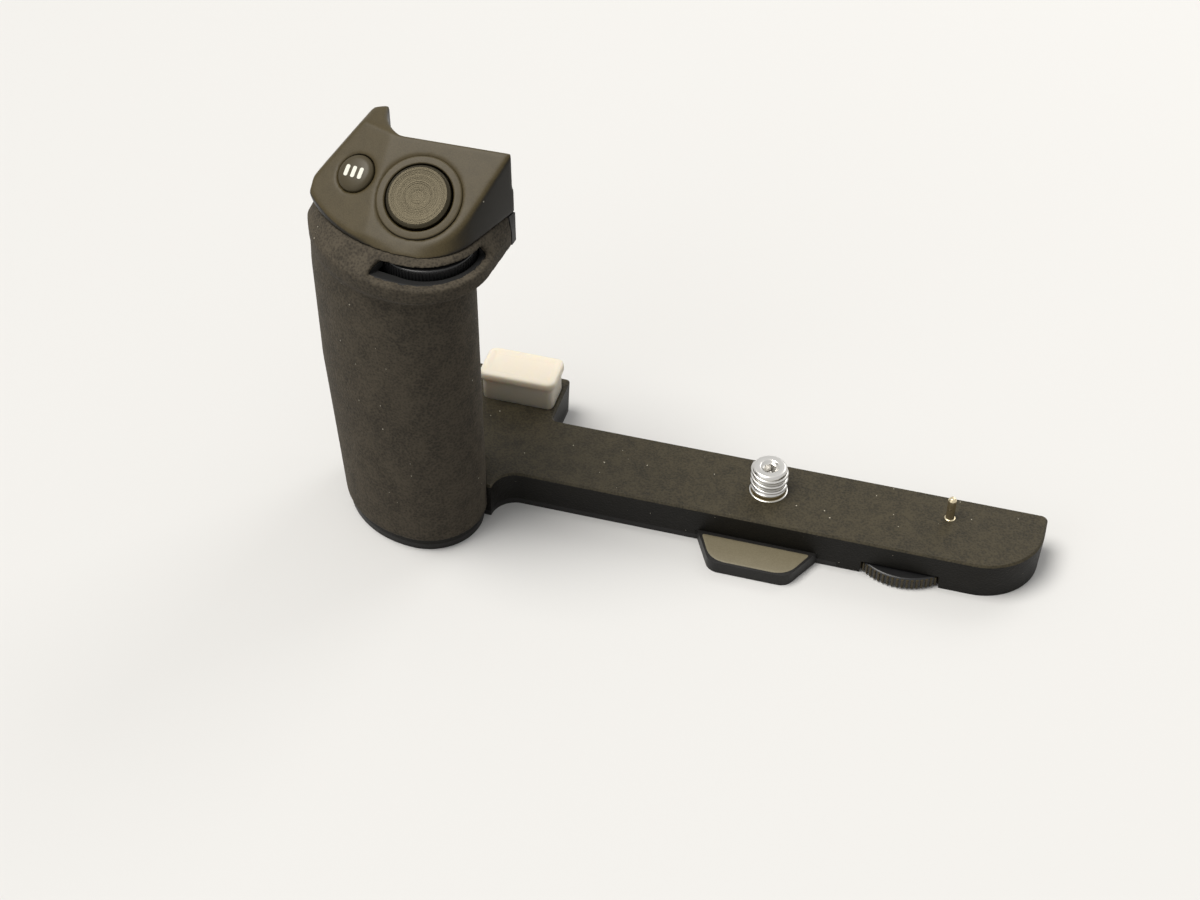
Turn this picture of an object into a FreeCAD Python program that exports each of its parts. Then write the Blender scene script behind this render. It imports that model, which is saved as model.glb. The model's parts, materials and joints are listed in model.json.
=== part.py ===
"""Camera hand grip: a gripping column with shutter button and dial on an L-shaped base bar.

Frame, in millimetres: origin on the camera screw's axis at the bar's seat face, +X along the bar
away from the column, +Y from the grip's front to its back, +Z up.
"""

import FreeCAD, Part
import math
import os
import Sketcher

# Driving sizes, in millimetres. Positions to the left of the screw and in front of it are stated as
# distances, and the code below gives them their sign.
SIZES = {
    # bar and tab of the base
    "bar_right": 48.1,
    "bar_front": 8.6,
    "bar_back": 6.86,
    "bar_depth": 7.4,
    "bar_front_corner": 10.6,
    "bar_back_corner": 1.2,
    "tab_right": 41.8,
    "tab_back": 18.6,
    "tab_corner": 0.8,
    "inner_corner": 1.0,
    "base_left_inset": 5.5,
    "base_left_corner": 6.0,
    "neck_round": 4.0,
    "neck_reach": 13.0,
    "neck_depth": 4.5,
    "neck_flat": 0.75,
    "wall_lean_angle": 2.5,
    "rim_chamfer": 0.35,
    "seat_wall": 1.1,
    "side_wall": 1.2,
    "cover_thickness": 1.2,
    "cover_right": 14.2,
    # foot under the column and front ledge
    "foot_top": 5.0,
    "foot_inset": 0.6,
    "ledge_half_root": 10.6,
    "ledge_half_tip": 6.9,
    "ledge_reach": 15.3,
    "ledge_corner": 2.6,
    # camera screw, alignment pin and tripod socket
    "screw_radius": 3.175,
    "screw_height": 5.45,
    "screw_shank": 1.1,
    "thread_pitch": 1.27,
    "thread_turns": 3,
    "thread_depth": 0.72,
    "thread_crest": 0.16,
    "thread_root": 0.3,
    "screw_collar_radius": 3.4,
    "screw_tip_radius": 2.35,
    "socket_flats": 2.6,
    "socket_depth": 2.4,
    "pin_x": 31.7,
    "pin_y": 1.8,
    "pin_radius": 0.75,
    "pin_height": 4.6,
    "pin_tip": 0.35,
    "pin_root_radius": 1.0,
    "pin_root_depth": 3.4,
    "tripod_radius": 2.55,
    "tripod_depth": 4.4,
    "tripod_bush_radius": 5.0,
    "tripod_flange_radius": 5.55,
    "tripod_flange": 0.8,
    # gear train between thumbwheel and camera screw
    "wheel_x": 25.2,
    "wheel_y": 0.6,
    "wheel_radius": 9.9,
    "wheel_top": 5.0,
    "wheel_bottom": 7.2,
    "wheel_teeth": 56,
    "knurl_depth": 0.45,
    "wheel_hub_radius": 3.2,
    "gear_teeth": 20,
    "gear_thickness": 1.0,
    "gear_bore": 2.2,
    "tooth_play": 0.12,
    "idler_pin_radius": 0.9,
    "pin_head": 0.5,
    "pin_head_radius": 1.6,
    "axle_radius": 1.3,
    "axle_head_radius": 2.4,
    "axle_head": 0.8,
    # column sections: nose position, front reach, round on the right, corner depth on the left.
    # Each section stands a rise above the one below, and its outline differs from the column by a
    # shift to the right, a draw inwards at the front or a step at the left.
    "rear_plane": 5.0,
    "column_nose": 57.5,
    "column_front": 24.7,
    "column_round": 9.8,
    "column_side_angle": 22.0,
    "column_spread": 18.0,
    "column_corner": 15.5,
    "waist_height": 43.5,
    "waist_draw": 0.2,
    "waist_spread": 2.35,
    "swell_height": 24.0,
    "swell_spread": 2.2,
    "recess_rise": 3.9,
    "recess_draw": 0.7,
    "collar_rise": 1.6,
    "collar_height": 2.4,
    "collar_nose_shift": 1.8,
    "collar_proud": 0.9,
    "collar_round": 11.2,
    "collar_side_angle": 6.0,
    "collar_step": 1.85,
    "collar_corner": 15.3,
    "shoulder_rise": 3.1,
    "shoulder_nose_shift": 1.5,
    "shoulder_draw": 3.5,
    "shoulder_round": 9.5,
    "shoulder_side_angle": 20.0,
    "shoulder_corner": 9.9,
    "skin_thickness": 1.3,
    "core_wall": 1.5,
    "core_floor": 1.5,
    "rear_thickness": 1.5,
    # head: sloping control face, rolled left part, side facet and wing
    "board_room": 0.535,
    "deck_tilt": 35.0,
    "deck_nose_shift": 0.3,
    "deck_length": 18.2,
    "deck_round": 10.0,
    "deck_step": 0.1,
    "deck_corner": 7.6,
    "deck_side_angle": 20.0,
    "roll_reach": 12.0,
    "roll_angle": 12.0,
    "side_facet_inset": 3.45,
    "side_facet_tilt": 7.0,
    "side_facet_pivot": 12.0,
    "side_facet_drop": 2.4,
    "side_facet_angle": 52.0,
    "head_wall": 1.4,
    "wing_back": 2.4,
    "wing_tip_inset": 8.3,
    "wing_side_back": 0.0,
    "wing_side_inset": 3.4,
    "wing_root_inset": 16.1,
    "wing_drop": 8.5,
    "wing_rise_angle": 50.0,
    "camera_corner_inset": 18.1,
    "camera_corner_y": 3.0,
    "camera_corner_radius": 9.2,
    # shutter button, function button and what they press
    "shutter_shift": 0.95,
    "shutter_down": 9.8,
    "shutter_radius": 5.5,
    "shutter_proud": 1.1,
    "shutter_skirt": 1.9,
    "shutter_flange": 0.6,
    "shutter_flange_radius": 6.2,
    "shutter_travel": 0.9,
    "bezel_outer": 6.55,
    "bezel_rim": 7.0,
    "bezel_proud": 0.5,
    "bezel_seat": 0.4,
    "bezel_tail": 1.2,
    "function_across": 4.7,
    "function_down": 7.3,
    "function_radius": 3.15,
    "function_proud": 0.7,
    "function_skirt": 2.1,
    "function_flange": 0.5,
    "function_flange_radius": 3.6,
    "function_travel": 0.45,
    "stem_radius": 0.9,
    "stem_length": 1.0,
    "switch_side": 3.6,
    "switch_height": 1.2,
    "function_switch_side": 2.8,
    "function_switch_height": 0.8,
    "board_thickness": 0.6,
    "board_half_length": 7.8,
    "board_up": 1.7,
    "board_down": 3.34,
    "post_radius": 0.8,
    "post_across": 7.0,
    "post_down": 2.5,
    "function_post": 4.65,
    "function_post_radius": 0.7,
    "function_board_up": 1.2,
    "function_arm": 1.2,
    "function_arm_up": 0.6,
    "ribbon_branch": 2.2,
    "function_board_right": 1.2,
    # front dial
    "dial_shift": 2.5,
    "dial_draw": 10.2,
    "dial_radius": 8.0,
    "dial_thickness": 2.8,
    "dial_drop": 1.3,
    "dial_notches": 44,
    "notch_depth": 0.35,
    "dial_axle_radius": 1.2,
    "dial_axle_cap": 0.6,
    "dial_axle_head": 1.9,
    "slot_height": 2.9,
    "lip_height": 0.9,
    "slot_reach": 14.0,
    "slot_start": 232.0,
    "slot_span": 134.0,
    "pocket_room": 0.5,
    "bracket_drop": 1.8,
    "bracket_thickness": 1.0,
    "bracket_left_inset": 7.5,
    "bracket_right_shift": 8.6,
    "bracket_front": 17.4,
    "encoder_outer": 3.8,
    "encoder_inner": 2.0,
    "encoder_height": 0.6,
    "ear_thickness": 1.1,
    "ear_rise": 3.9,
    "left_ear_middle": 4.2,
    "ear_half_width": 1.5,
    "right_ear_reach": 8.3,
    "right_ear_width": 2.8,
    "right_strut_width": 1.5,
    "ear_screw_rise": 2.2,
    "right_ear_screw_reach": 9.6,
    # connector and its cap
    "connector_length": 10.2,
    "connector_inset": 2.4,
    "connector_width": 4.4,
    "connector_back_inset": 3.4,
    "connector_top": 4.0,
    "connector_flange": 1.0,
    "connector_flange_bottom": 4.0,
    "contact_pitch": 0.85,
    "contact_count": 9,
    "contact_radius": 0.22,
    "contact_length": 2.4,
    "contact_well": 3.0,
    "well_margin_x": 1.2,
    "well_margin_y": 1.3,
    "cap_seat_depth": 0.3,
    "cap_side_wall": 1.6,
    "cap_front_wall": 1.46,
    "cap_back_wall": 1.1,
    "cap_top": 6.2,
    "cap_flange": 0.5,
    "cap_flange_bottom": 4.6,
    "cap_corner": 1.1,
    "cap_room": 0.4,
    "connector_board": 0.8,
    # boards, ribbon and rear pad inside and behind the column
    "main_board_left_inset": 6.3,
    "main_board_right_shift": 1.3,
    "main_board_bottom": 0.0,
    "main_board_headroom": 4.6,
    "main_board_thickness": 0.8,
    "standoff": 2.0,
    "standoff_radius": 1.2,
    "chip_height": 1.1,
    "chip_side": 7.0,
    "ribbon_thickness": 0.2,
    "ribbon_width": 5.0,
    "ribbon_shift": 0.5,
    "ribbon_top": 6.0,
    "passage_margin": 0.5,
    "pad_thickness": 0.4,
    "pad_left_inset": 3.0,
    "pad_right_shift": 4.5,
    "pad_bottom": 7.0,
    "pad_drop": 9.5,
    # fasteners and bosses
    "small_screw": 0.7,
    "small_head": 1.35,
    "small_head_height": 0.7,
    "small_screw_length": 3.4,
    "head_screw_length": 2.55,
    "drive_width": 0.35,
    "drive_depth": 0.4,
    "boss_radius": 1.7,
    "boss_height": 4.6,
    "cover_screw_first": 13.0,
    "cover_screw_second": 24.0,
    "cover_screw_third": 37.5,
    "cover_screw_front": 3.6,
    "cover_screw_back": 3.66,
    "cover_screw_tab": 3.1,
    "tab_screw_left": 9.5,
    "tab_screw_back": 5.1,
    "tab_screw_front": 4.0,
    "foot_screw_left": 7.5,
    "foot_screw_middle": 0.5,
    "foot_screw_right": 6.0,
    "foot_screw_left_y": 13.5,
    "foot_screw_front": 4.7,
    "foot_screw_right_y": 11.0,
    "rear_screw_left": 4.3,
    "rear_screw_right": 3.5,
    "rear_screw_low": 2.0,
    "rear_screw_drop": 3.5,
    "bracket_screw_left": 5.4,
    "bracket_screw_left_y": 10.5,
    "bracket_screw_right": 4.5,
    "bracket_screw_right_y": 9.2,
    "board_post_left": 8.0,
    "board_post_right": 0.5,
    "board_post_low": 8.5,
    "board_post_drop": 5.5,
    # clearances
    "running_gap": 0.05,
    "slip_gap": 0.12,
    "free_gap": 0.35,
    "wheel_gap": 0.4,
    "gear_gap": 0.1,
}

FAR = 90.0
doc = FreeCAD.newDocument("camera_hand_grip")
sheet = doc.addObject("Spreadsheet::Sheet", "sizes")
for row, (alias, number) in enumerate(SIZES.items(), start=1):
    sheet.set(f"A{row}", alias)
    sheet.set(f"B{row}", str(number))
    sheet.setAlias(f"B{row}", alias)
doc.recompute()

PARTS = {}


class Size:
    """A number together with the spreadsheet expression that gives it."""

    def __init__(self, value, text):
        self.value = float(value)
        self.text = text

    def __add__(self, other):
        other = as_size(other)
        return Size(self.value + other.value, f"({self.text} + {other.text})")

    def __sub__(self, other):
        other = as_size(other)
        return Size(self.value - other.value, f"({self.text} - {other.text})")

    def __mul__(self, other):
        other = as_size(other)
        return Size(self.value * other.value, f"({self.text} * {other.text})")

    def __truediv__(self, other):
        other = as_size(other)
        return Size(self.value / other.value, f"({self.text} / {other.text})")

    def __neg__(self):
        return Size(-self.value, f"(0 - {self.text})")

    def __radd__(self, other):
        return as_size(other) + self

    def __rsub__(self, other):
        return as_size(other) - self

    def __rmul__(self, other):
        return as_size(other) * self

    def root(self):
        return Size(math.sqrt(self.value), f"sqrt({self.text})")

    def cosine(self):
        return Size(math.cos(math.radians(self.value)), f"cos({self.text})")

    def sine(self):
        return Size(math.sin(math.radians(self.value)), f"sin({self.text})")


def as_size(number):
    """The number as a Size, so that plain numbers and sheet values mix."""
    return number if isinstance(number, Size) else Size(number, repr(float(number)))


def size(alias):
    """The sheet value of that name."""
    return Size(sheet.get(alias), f"sizes.{alias}")


def bind(thing, prop, value):
    """Tie a property to the sheet through its expression."""
    thing.setExpression(prop, as_size(value).text)


def vector(x, y, z=0.0):
    return FreeCAD.Vector(as_size(x).value, as_size(y).value, as_size(z).value)


def move(thing, x, y, z):
    """Place a thing at a point that follows the sheet."""
    for axis, value in zip("xyz", (x, y, z)):
        bind(thing, f"Placement.Base.{axis}", value)


# Sketches


def origin_feature(body, role):
    return next(item for item in body.Origin.OriginFeatures if item.Role == role)


def new_sketch(body, name, plane="XY_Plane", lift=0.0, tilt=None):
    """A sketch on one of the body's own planes, lifted along that plane's normal."""
    sketch = body.newObject("Sketcher::SketchObject", name)
    sketch.AttachmentSupport = [(origin_feature(body, plane), "")]
    sketch.MapMode = "FlatFace"
    if tilt is not None:
        sketch.AttachmentOffset = tilt
    else:
        sketch.AttachmentOffset = FreeCAD.Placement(vector(0, 0, lift), FreeCAD.Rotation())
        bind(sketch, "AttachmentOffset.Base.z", lift)
    return sketch


def pin_point(sketch, geometry, end, x, y):
    """Fix one end of an edge at sheet coordinates."""
    for kind, value in (("DistanceX", as_size(x)), ("DistanceY", as_size(y))):
        rule = Sketcher.Constraint(kind, -1, 1, geometry, end, value.value)
        bind(sketch, f"Constraints[{sketch.addConstraint(rule)}]", value)


def draw_loop(sketch, corners):
    """Draw a closed loop. A corner is (x, y, bend): bend is None for a straight edge to the next
    corner, or (centre x, centre y, radius, turn) for an arc, with turn 1 counterclockwise."""
    first = len(sketch.Geometry)
    ends = []
    for index, (x, y, bend) in enumerate(corners):
        next_x, next_y, _ = corners[(index + 1) % len(corners)]
        start, stop = vector(x, y), vector(next_x, next_y)
        if bend is None:
            sketch.addGeometry(Part.LineSegment(start, stop), False)
            ends.append((1, 2))
            continue
        centre, radius, turn = vector(bend[0], bend[1]), as_size(bend[2]), bend[3]
        from_angle = math.atan2(start.y - centre.y, start.x - centre.x)
        to_angle = math.atan2(stop.y - centre.y, stop.x - centre.x)
        circle = Part.Circle(centre, FreeCAD.Vector(0, 0, 1), radius.value)
        if turn > 0:
            sketch.addGeometry(Part.ArcOfCircle(circle, from_angle, to_angle), False)
            ends.append((1, 2))
        else:
            sketch.addGeometry(Part.ArcOfCircle(circle, to_angle, from_angle), False)
            ends.append((2, 1))
    for index, (x, y, bend) in enumerate(corners):
        following = (index + 1) % len(corners)
        joint = (first + index, ends[index][1], first + following, ends[following][0])
        sketch.addConstraint(Sketcher.Constraint("Coincident", *joint))
        pin_point(sketch, first + index, ends[index][0], x, y)
        if bend is not None:
            radius = as_size(bend[2])
            rule = Sketcher.Constraint("Radius", first + index, radius.value)
            bind(sketch, f"Constraints[{sketch.addConstraint(rule)}]", radius)


def polygon(points):
    """A loop of straight edges."""
    return [(x, y, None) for x, y in points]


def rounded(corners):
    """A loop with edges along X and Y whose corners, (x, y, radius), are rounded."""
    loop = []
    count = len(corners)
    for index, (x, y, radius) in enumerate(corners):
        before, after = corners[index - 1], corners[(index + 1) % count]
        if radius is None:
            loop.append((x, y, None))
            continue
        here = vector(x, y)
        arriving = (here - vector(before[0], before[1])).normalize()
        leaving = (vector(after[0], after[1]) - here).normalize()
        in_x, in_y = x - radius * round(arriving.x), y - radius * round(arriving.y)
        out_x, out_y = x + radius * round(leaving.x), y + radius * round(leaving.y)
        centre_x, centre_y = in_x + radius * round(leaving.x), in_y + radius * round(leaving.y)
        turn = 1 if arriving.cross(leaving).z > 0 else -1
        loop.append((in_x, in_y, (centre_x, centre_y, radius, turn)))
        loop.append((out_x, out_y, None))
    return loop


def rectangle(left, right, front, back, corner=None):
    """A rectangle, with rounded corners where a radius is given."""
    corners = ((left, front, corner), (right, front, corner), (right, back, corner), (left, back, corner))
    return rounded([(as_size(x), as_size(y), r) for x, y, r in corners])


# Features and primitives


def new_body(name):
    return doc.addObject("PartDesign::Body", name)


def pad(body, name, loop, low, high, plane="XY_Plane", lean=None):
    """Raise a loop from low to high along the plane's normal, or with a lean, down from high to low."""
    sketch = new_sketch(body, f"{name}_sketch", plane, low if lean is None else high)
    draw_loop(sketch, loop)
    feature = body.newObject("PartDesign::Pad", name)
    feature.Profile = sketch
    bind(feature, "Length", as_size(high) - low)
    if lean is not None:
        feature.Reversed = True
        bind(feature, "TaperAngle", -lean)
    doc.recompute()
    return feature


def pocket(body, name, loop, low, high, plane="XY_Plane"):
    """Cut a loop's prism between low and high out of the body."""
    before = body.Shape.Volume
    sketch = new_sketch(body, f"{name}_sketch", plane, high)
    draw_loop(sketch, loop)
    feature = body.newObject("PartDesign::Pocket", name)
    feature.Profile = sketch
    bind(feature, "Length", as_size(high) - low)
    doc.recompute()
    if body.Shape.Volume >= before:
        raise ValueError(f"{name} removes nothing")
    return feature


def dress(body, kind, name, edges, prop, value):
    """Round or chamfer the named edges of the body as it stands."""
    base = body.Tip
    feature = body.newObject(kind, name)
    feature.Base = (base, edges)
    bind(feature, prop, value)
    doc.recompute()
    return feature


def turned(name, points):
    """A body turned about Z from a half profile of (radius, height) points."""
    body = new_body(name)
    sketch = new_sketch(body, f"{name}_profile", "XZ_Plane")
    draw_loop(sketch, polygon(points))
    feature = body.newObject("PartDesign::Revolution", f"{name}_turn")
    feature.Profile = sketch
    feature.ReferenceAxis = (sketch, ["V_Axis"])
    feature.Angle = 360
    doc.recompute()
    return body


def polar(body, name, feature, count):
    """Repeat a feature round the body's Z axis."""
    pattern = body.newObject("PartDesign::PolarPattern", name)
    pattern.Originals = [feature]
    pattern.Axis = (origin_feature(body, "Z_Axis"), [""])
    pattern.Angle = 360
    bind(pattern, "Occurrences", count)
    body.Tip = pattern
    doc.recompute()
    return pattern


def box(name, x, y, z):
    """A block between two bounds on each axis."""
    block = doc.addObject("Part::Box", name)
    for prop, (low, high) in zip(("Length", "Width", "Height"), (x, y, z)):
        bind(block, prop, as_size(high) - low)
    move(block, x[0], y[0], z[0])
    return block


def cylinder(name, x, y, z, radius):
    """An upright cylinder between two heights."""
    post = doc.addObject("Part::Cylinder", name)
    bind(post, "Radius", radius)
    bind(post, "Height", as_size(z[1]) - z[0])
    move(post, x, y, z[0])
    return post


def bar_along_y(name, x, y, z, radius):
    """A cylinder along Y between two depths."""
    post = doc.addObject("Part::Cylinder", name)
    bind(post, "Radius", radius)
    bind(post, "Height", as_size(y[1]) - y[0])
    post.Placement = FreeCAD.Placement(FreeCAD.Vector(), FreeCAD.Rotation(FreeCAD.Vector(1, 0, 0), -90))
    move(post, x, y[0], z)
    return post


def cone(name, x, y, z, low_radius, high_radius):
    """An upright cone between two heights."""
    frustum = doc.addObject("Part::Cone", name)
    bind(frustum, "Radius1", low_radius)
    bind(frustum, "Radius2", high_radius)
    bind(frustum, "Height", as_size(z[1]) - z[0])
    move(frustum, x, y, z[0])
    return frustum


def fuse(name, *shapes):
    joined = doc.addObject("Part::MultiFuse", name)
    joined.Shapes = list(shapes)
    return joined


def common(name, first, second):
    shared = doc.addObject("Part::MultiCommon", name)
    shared.Shapes = [first, second]
    return shared


def cut(name, base, *tools):
    result = doc.addObject("Part::Cut", name)
    result.Base = base
    result.Tool = tools[0] if len(tools) == 1 else fuse(f"{name}_tools", *tools)
    return result


def group(name, *shapes):
    """Separate solids kept as one sub-part."""
    together = doc.addObject("Part::Compound", name)
    together.Links = list(shapes)
    return together


def place(thing, frame):
    """Set a thing down in a local frame of the head."""
    thing.Placement = frame
    return thing


def part(node, thing):
    """Register a finished sub-part under the name of its file."""
    thing.Label = node
    PARTS[node] = thing
    return thing


# Frequently used sizes

gap = size("running_gap")
slip = size("slip_gap")
free = size("free_gap")
bar_bottom = -size("bar_depth")
cover_top = bar_bottom + size("cover_thickness")
foot_top = -size("foot_top")
rear = -size("rear_plane")
ceiling = -size("seat_wall")
gear_top = ceiling - size("gear_gap")
gear_bottom = gear_top - size("gear_thickness")
nose_x = -size("column_nose")
left_x = nose_x - size("column_spread")
deck_left_x = left_x - size("deck_step")
tab_right_x = -size("tab_right")
base_left_x = left_x + size("base_left_inset")
waist = size("waist_height")
recess = waist + size("recess_rise")
collar_low = recess + size("collar_rise")
collar_high = collar_low + size("collar_height")
shoulder = collar_high + size("shoulder_rise")
skin = size("skin_thickness")
core_inset = skin + size("core_wall")
rear_inner = rear - size("rear_thickness")
column_right = nose_x + size("column_round")
wheel_x, wheel_y = size("wheel_x"), -size("wheel_y")
dial_x, dial_y = nose_x + size("dial_shift"), size("dial_draw") - size("column_front")
dial_top = shoulder - size("dial_drop")
dial_bottom = dial_top - size("dial_thickness")
pocket_bottom = dial_bottom - size("pocket_room")
bracket_bottom = dial_bottom - size("bracket_drop")
slot_low = shoulder - size("slot_height")
ear_screw_z = shoulder + size("ear_screw_rise")
ear_screws = (nose_x - size("left_ear_middle"), nose_x + size("right_ear_screw_reach"))

# Places of the fasteners, as (x, y), and of those in the rear cover, as (x, z)
bar_screw_front = size("cover_screw_front") - size("bar_front")
bar_screw_back = size("bar_back") - size("cover_screw_back")
COVER_SCREWS = (
    (left_x + size("tab_screw_left"), size("tab_back") - size("tab_screw_back")),
    (tab_right_x - size("cover_screw_tab"), bar_screw_back),
    (-size("cover_screw_third"), bar_screw_front),
    (-size("cover_screw_second"), bar_screw_back),
    (-size("cover_screw_first"), bar_screw_front),
    (left_x + size("tab_screw_left"), rear + size("tab_screw_front")),
)
FOOT_SCREWS = (
    (left_x + size("foot_screw_left"), -size("foot_screw_left_y")),
    (nose_x + size("foot_screw_middle"), size("foot_screw_front") - size("column_front")),
    (nose_x + size("foot_screw_right"), -size("foot_screw_right_y")),
)
waist_left_x = left_x - size("waist_spread")
REAR_SCREWS = tuple(
    (x, z)
    for left, z in ((left_x, size("rear_screw_low")), (waist_left_x, waist - size("rear_screw_drop")))
    for x in (left + size("rear_screw_left"), nose_x + size("rear_screw_right")))
BRACKET_SCREWS = (
    (waist_left_x + size("bracket_screw_left"), -size("bracket_screw_left_y")),
    (nose_x + size("bracket_screw_right"), -size("bracket_screw_right_y")),
)
BOARD_POSTS = tuple(
    (x, z)
    for z in (size("board_post_low"), waist - size("board_post_drop"))
    for x in (left_x + size("board_post_left"), nose_x - size("board_post_right")))


# Column outline, shared by the skin, the core, the rear cover, the foot and the head


def grip_outline(nose, front, right_round, side_angle, left, corner, back, inset=0.0):
    """The column's outline at one height: a round on the right of the nose that runs on to the side
    angle and then straight to the back, and a wider arc on its left down to a corner. A positive side
    angle draws the right side in towards the back. Inset offsets the outline inwards."""
    inset, back = as_size(inset), as_size(back)
    across = nose - left
    left_round = (across * across + corner * corner) / (corner * 2.0)
    right_radius, left_radius = right_round - inset, left_round - inset
    reach = across - inset
    corner_y = left_round - front - (left_radius * left_radius - reach * reach).root()
    cosine, sine = side_angle.cosine(), side_angle.sine()
    centre_y = right_round - front
    side_x, side_y = nose + right_radius * cosine, centre_y + right_radius * sine
    back_x = side_x - sine / cosine * (back - side_y)
    return [
        (left + inset, back, None),
        (back_x, back, None),
        (side_x, side_y, (nose, centre_y, right_radius, -1)),
        (nose, inset - front, (nose, left_round - front, left_radius, -1)),
        (left + inset, corner_y, None),
    ]


def column_outline(front, back, inset, spread=0.0):
    return grip_outline(
        nose_x, front, size("column_round"), size("column_side_angle"), left_x - spread,
        size("column_corner"), back, inset)


def collar_outline(inset):
    return grip_outline(
        nose_x + size("collar_nose_shift"), size("column_front") + size("collar_proud"), size("collar_round"),
        -size("collar_side_angle"), left_x - size("collar_step"), size("collar_corner"), rear, inset)


def shoulder_outline(inset, back):
    return grip_outline(
        nose_x + size("shoulder_nose_shift"), size("column_front") - size("shoulder_draw"),
        size("shoulder_round"), -size("shoulder_side_angle"), deck_left_x,
        size("shoulder_corner"), back, inset)


def grip_sections(inset):
    """Outlines of the column from its foot to its shoulder, as (height, outline)."""
    front, spread = size("column_front"), size("waist_spread")
    return [
        (foot_top, column_outline(front, rear, inset)),
        (
            size("swell_height"),
            column_outline(front - size("waist_draw") / 2, rear, inset, size("swell_spread")),
        ),
        (waist, column_outline(front - size("waist_draw"), rear, inset, spread)),
        (recess, column_outline(front - size("recess_draw"), rear, inset, spread)),
        (collar_low, collar_outline(inset)),
        (collar_high, collar_outline(inset)),
        (shoulder, shoulder_outline(inset, rear)),
    ]


def loft(name, sections):
    """A ruled loft through outlines given as (sketch placement or height, outline)."""
    body = new_body(name)
    sketches = []
    for index, (level, outline) in enumerate(sections):
        tilt = level if isinstance(level, FreeCAD.Placement) else None
        sketch = new_sketch(body, f"{name}_{index}", lift=0.0 if tilt else level, tilt=tilt)
        draw_loop(sketch, outline)
        sketches.append(sketch)
    feature = body.newObject("PartDesign::AdditiveLoft", f"{name}_loft")
    feature.Profile = sketches[0]
    feature.Sections = sketches[1:]
    feature.Ruled = True
    doc.recompute()
    return body


# Local frames of the head


def turn(axis, degrees):
    return FreeCAD.Rotation(FreeCAD.Vector(*axis), degrees)


# The deck stands high enough for the button board's lower edge to clear the dial.
tilt = size("deck_tilt")
shutter_stack = (
    size("shutter_skirt") + size("stem_length") + size("shutter_travel") + gap + size("switch_height")
    + size("board_thickness"))
deck_height = (
    dial_top + size("board_room") + (size("shutter_down") + size("board_down")) * tilt.sine()
    + shutter_stack * tilt.cosine())
deck = FreeCAD.Placement(vector(0, rear, deck_height), turn((1, 0, 0), tilt.value))


def on_deck(x, down, lift=0.0):
    """The frame of a point on the sloping deck, down the slope from its back edge."""
    return deck * FreeCAD.Placement(vector(x, -as_size(down), lift), FreeCAD.Rotation())


roll = on_deck(left_x + size("roll_reach"), 0.0) * FreeCAD.Placement(
    FreeCAD.Vector(), turn((0, 1, 0), -size("roll_angle").value))
shutter_frame = on_deck(nose_x + size("shutter_shift"), size("shutter_down"))
function_frame = roll * FreeCAD.Placement(
    vector(-size("function_across"), -size("function_down")), FreeCAD.Rotation())
side_facet = FreeCAD.Placement(
    vector(
        left_x + size("side_facet_inset"), -size("side_facet_pivot"), deck_height - size("side_facet_drop")),
    turn((1, 0, 0), -size("side_facet_tilt").value) * turn((0, 1, 0), -size("side_facet_angle").value))
wing_bottom = shoulder - size("wing_drop")
wing_rise = FreeCAD.Placement(
    vector(0, rear, wing_bottom), turn((1, 0, 0), size("wing_rise_angle").value))


# Base frame, bottom cover and ledge


def base_block():
    """The bar, the tab, the neck beside the column and the column's foot as one block, before it is
    hollowed and parted."""
    body = new_body("base_block")
    neck_left = column_right - size("neck_depth")
    neck_right = column_right + size("neck_flat")
    front, back = -size("bar_front"), size("bar_back")
    neck_front, tab_front = -size("neck_reach"), rear + gap
    outline = rounded([
        (size("bar_right"), front, size("bar_front_corner")),
        (size("bar_right"), back, size("bar_back_corner")),
        (tab_right_x, back, size("inner_corner")),
        (tab_right_x, size("tab_back"), size("tab_corner")),
        (base_left_x, size("tab_back"), size("base_left_corner")),
        (base_left_x, tab_front, None),
        (neck_left, tab_front, None),
        (neck_left, neck_front, None),
        (neck_right, neck_front, None),
        (neck_right, front, size("neck_round")),
    ])
    pad(body, "bar_and_tab", outline, bar_bottom, as_size(0.0), lean=size("wall_lean_angle"))
    rim = []
    for index, edge in enumerate(body.Shape.Edges, start=1):
        faces_camera_seat = edge.BoundBox.ZMin > -gap.value
        bounds = edge.BoundBox
        beside_column = bounds.XMax < neck_right.value and bounds.YMax < tab_front.value + gap.value
        if faces_camera_seat and not beside_column:
            rim.append(f"Edge{index}")
    dress(body, "PartDesign::Chamfer", "rim", rim, "Size", size("rim_chamfer"))
    foot = column_outline(size("column_front"), rear + size("side_wall"), size("foot_inset"))
    pad(body, "column_foot", foot, bar_bottom, foot_top)
    pad(body, "neck_foot", rectangle(
        neck_left, column_right + free, neck_front + free, rear + size("side_wall")), bar_bottom, foot_top)
    pocket(body, "column_seat", column_outline(size("column_front"), rear, -gap), foot_top, as_size(1.0))
    return body


def ledge_block():
    """The front ledge under the lens axis, with rounded outer corners."""
    body = new_body("ledge_block")
    root_y, tip_y = -size("bar_front") + free, -size("ledge_reach")
    root, tip = size("ledge_half_root"), size("ledge_half_tip")
    pad(body, "ledge_plate", polygon(((root, root_y), (-root, root_y), (-tip, tip_y), (tip, tip_y))),
        bar_bottom, foot_top)
    outer = [
        f"Edge{index}"
        for index, edge in enumerate(body.Shape.Edges, start=1)
        if edge.BoundBox.ZLength > edge.BoundBox.DiagonalLength / 2 and edge.BoundBox.YMax < root_y.value - 1
    ]
    dress(body, "PartDesign::Fillet", "ledge_corners", outer, "Radius", size("ledge_corner"))
    return body


block = base_block()
ledge = ledge_block()
cover_zone = box(
    "cover_zone", (-FAR, size("cover_right")), (-FAR, FAR), (bar_bottom - free, cover_top))
ledge_room = box(
    "ledge_room", (-size("ledge_half_root") - free, size("ledge_half_root") + free),
    (-FAR, -size("bar_front") + free), (bar_bottom - free, foot_top))

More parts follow.
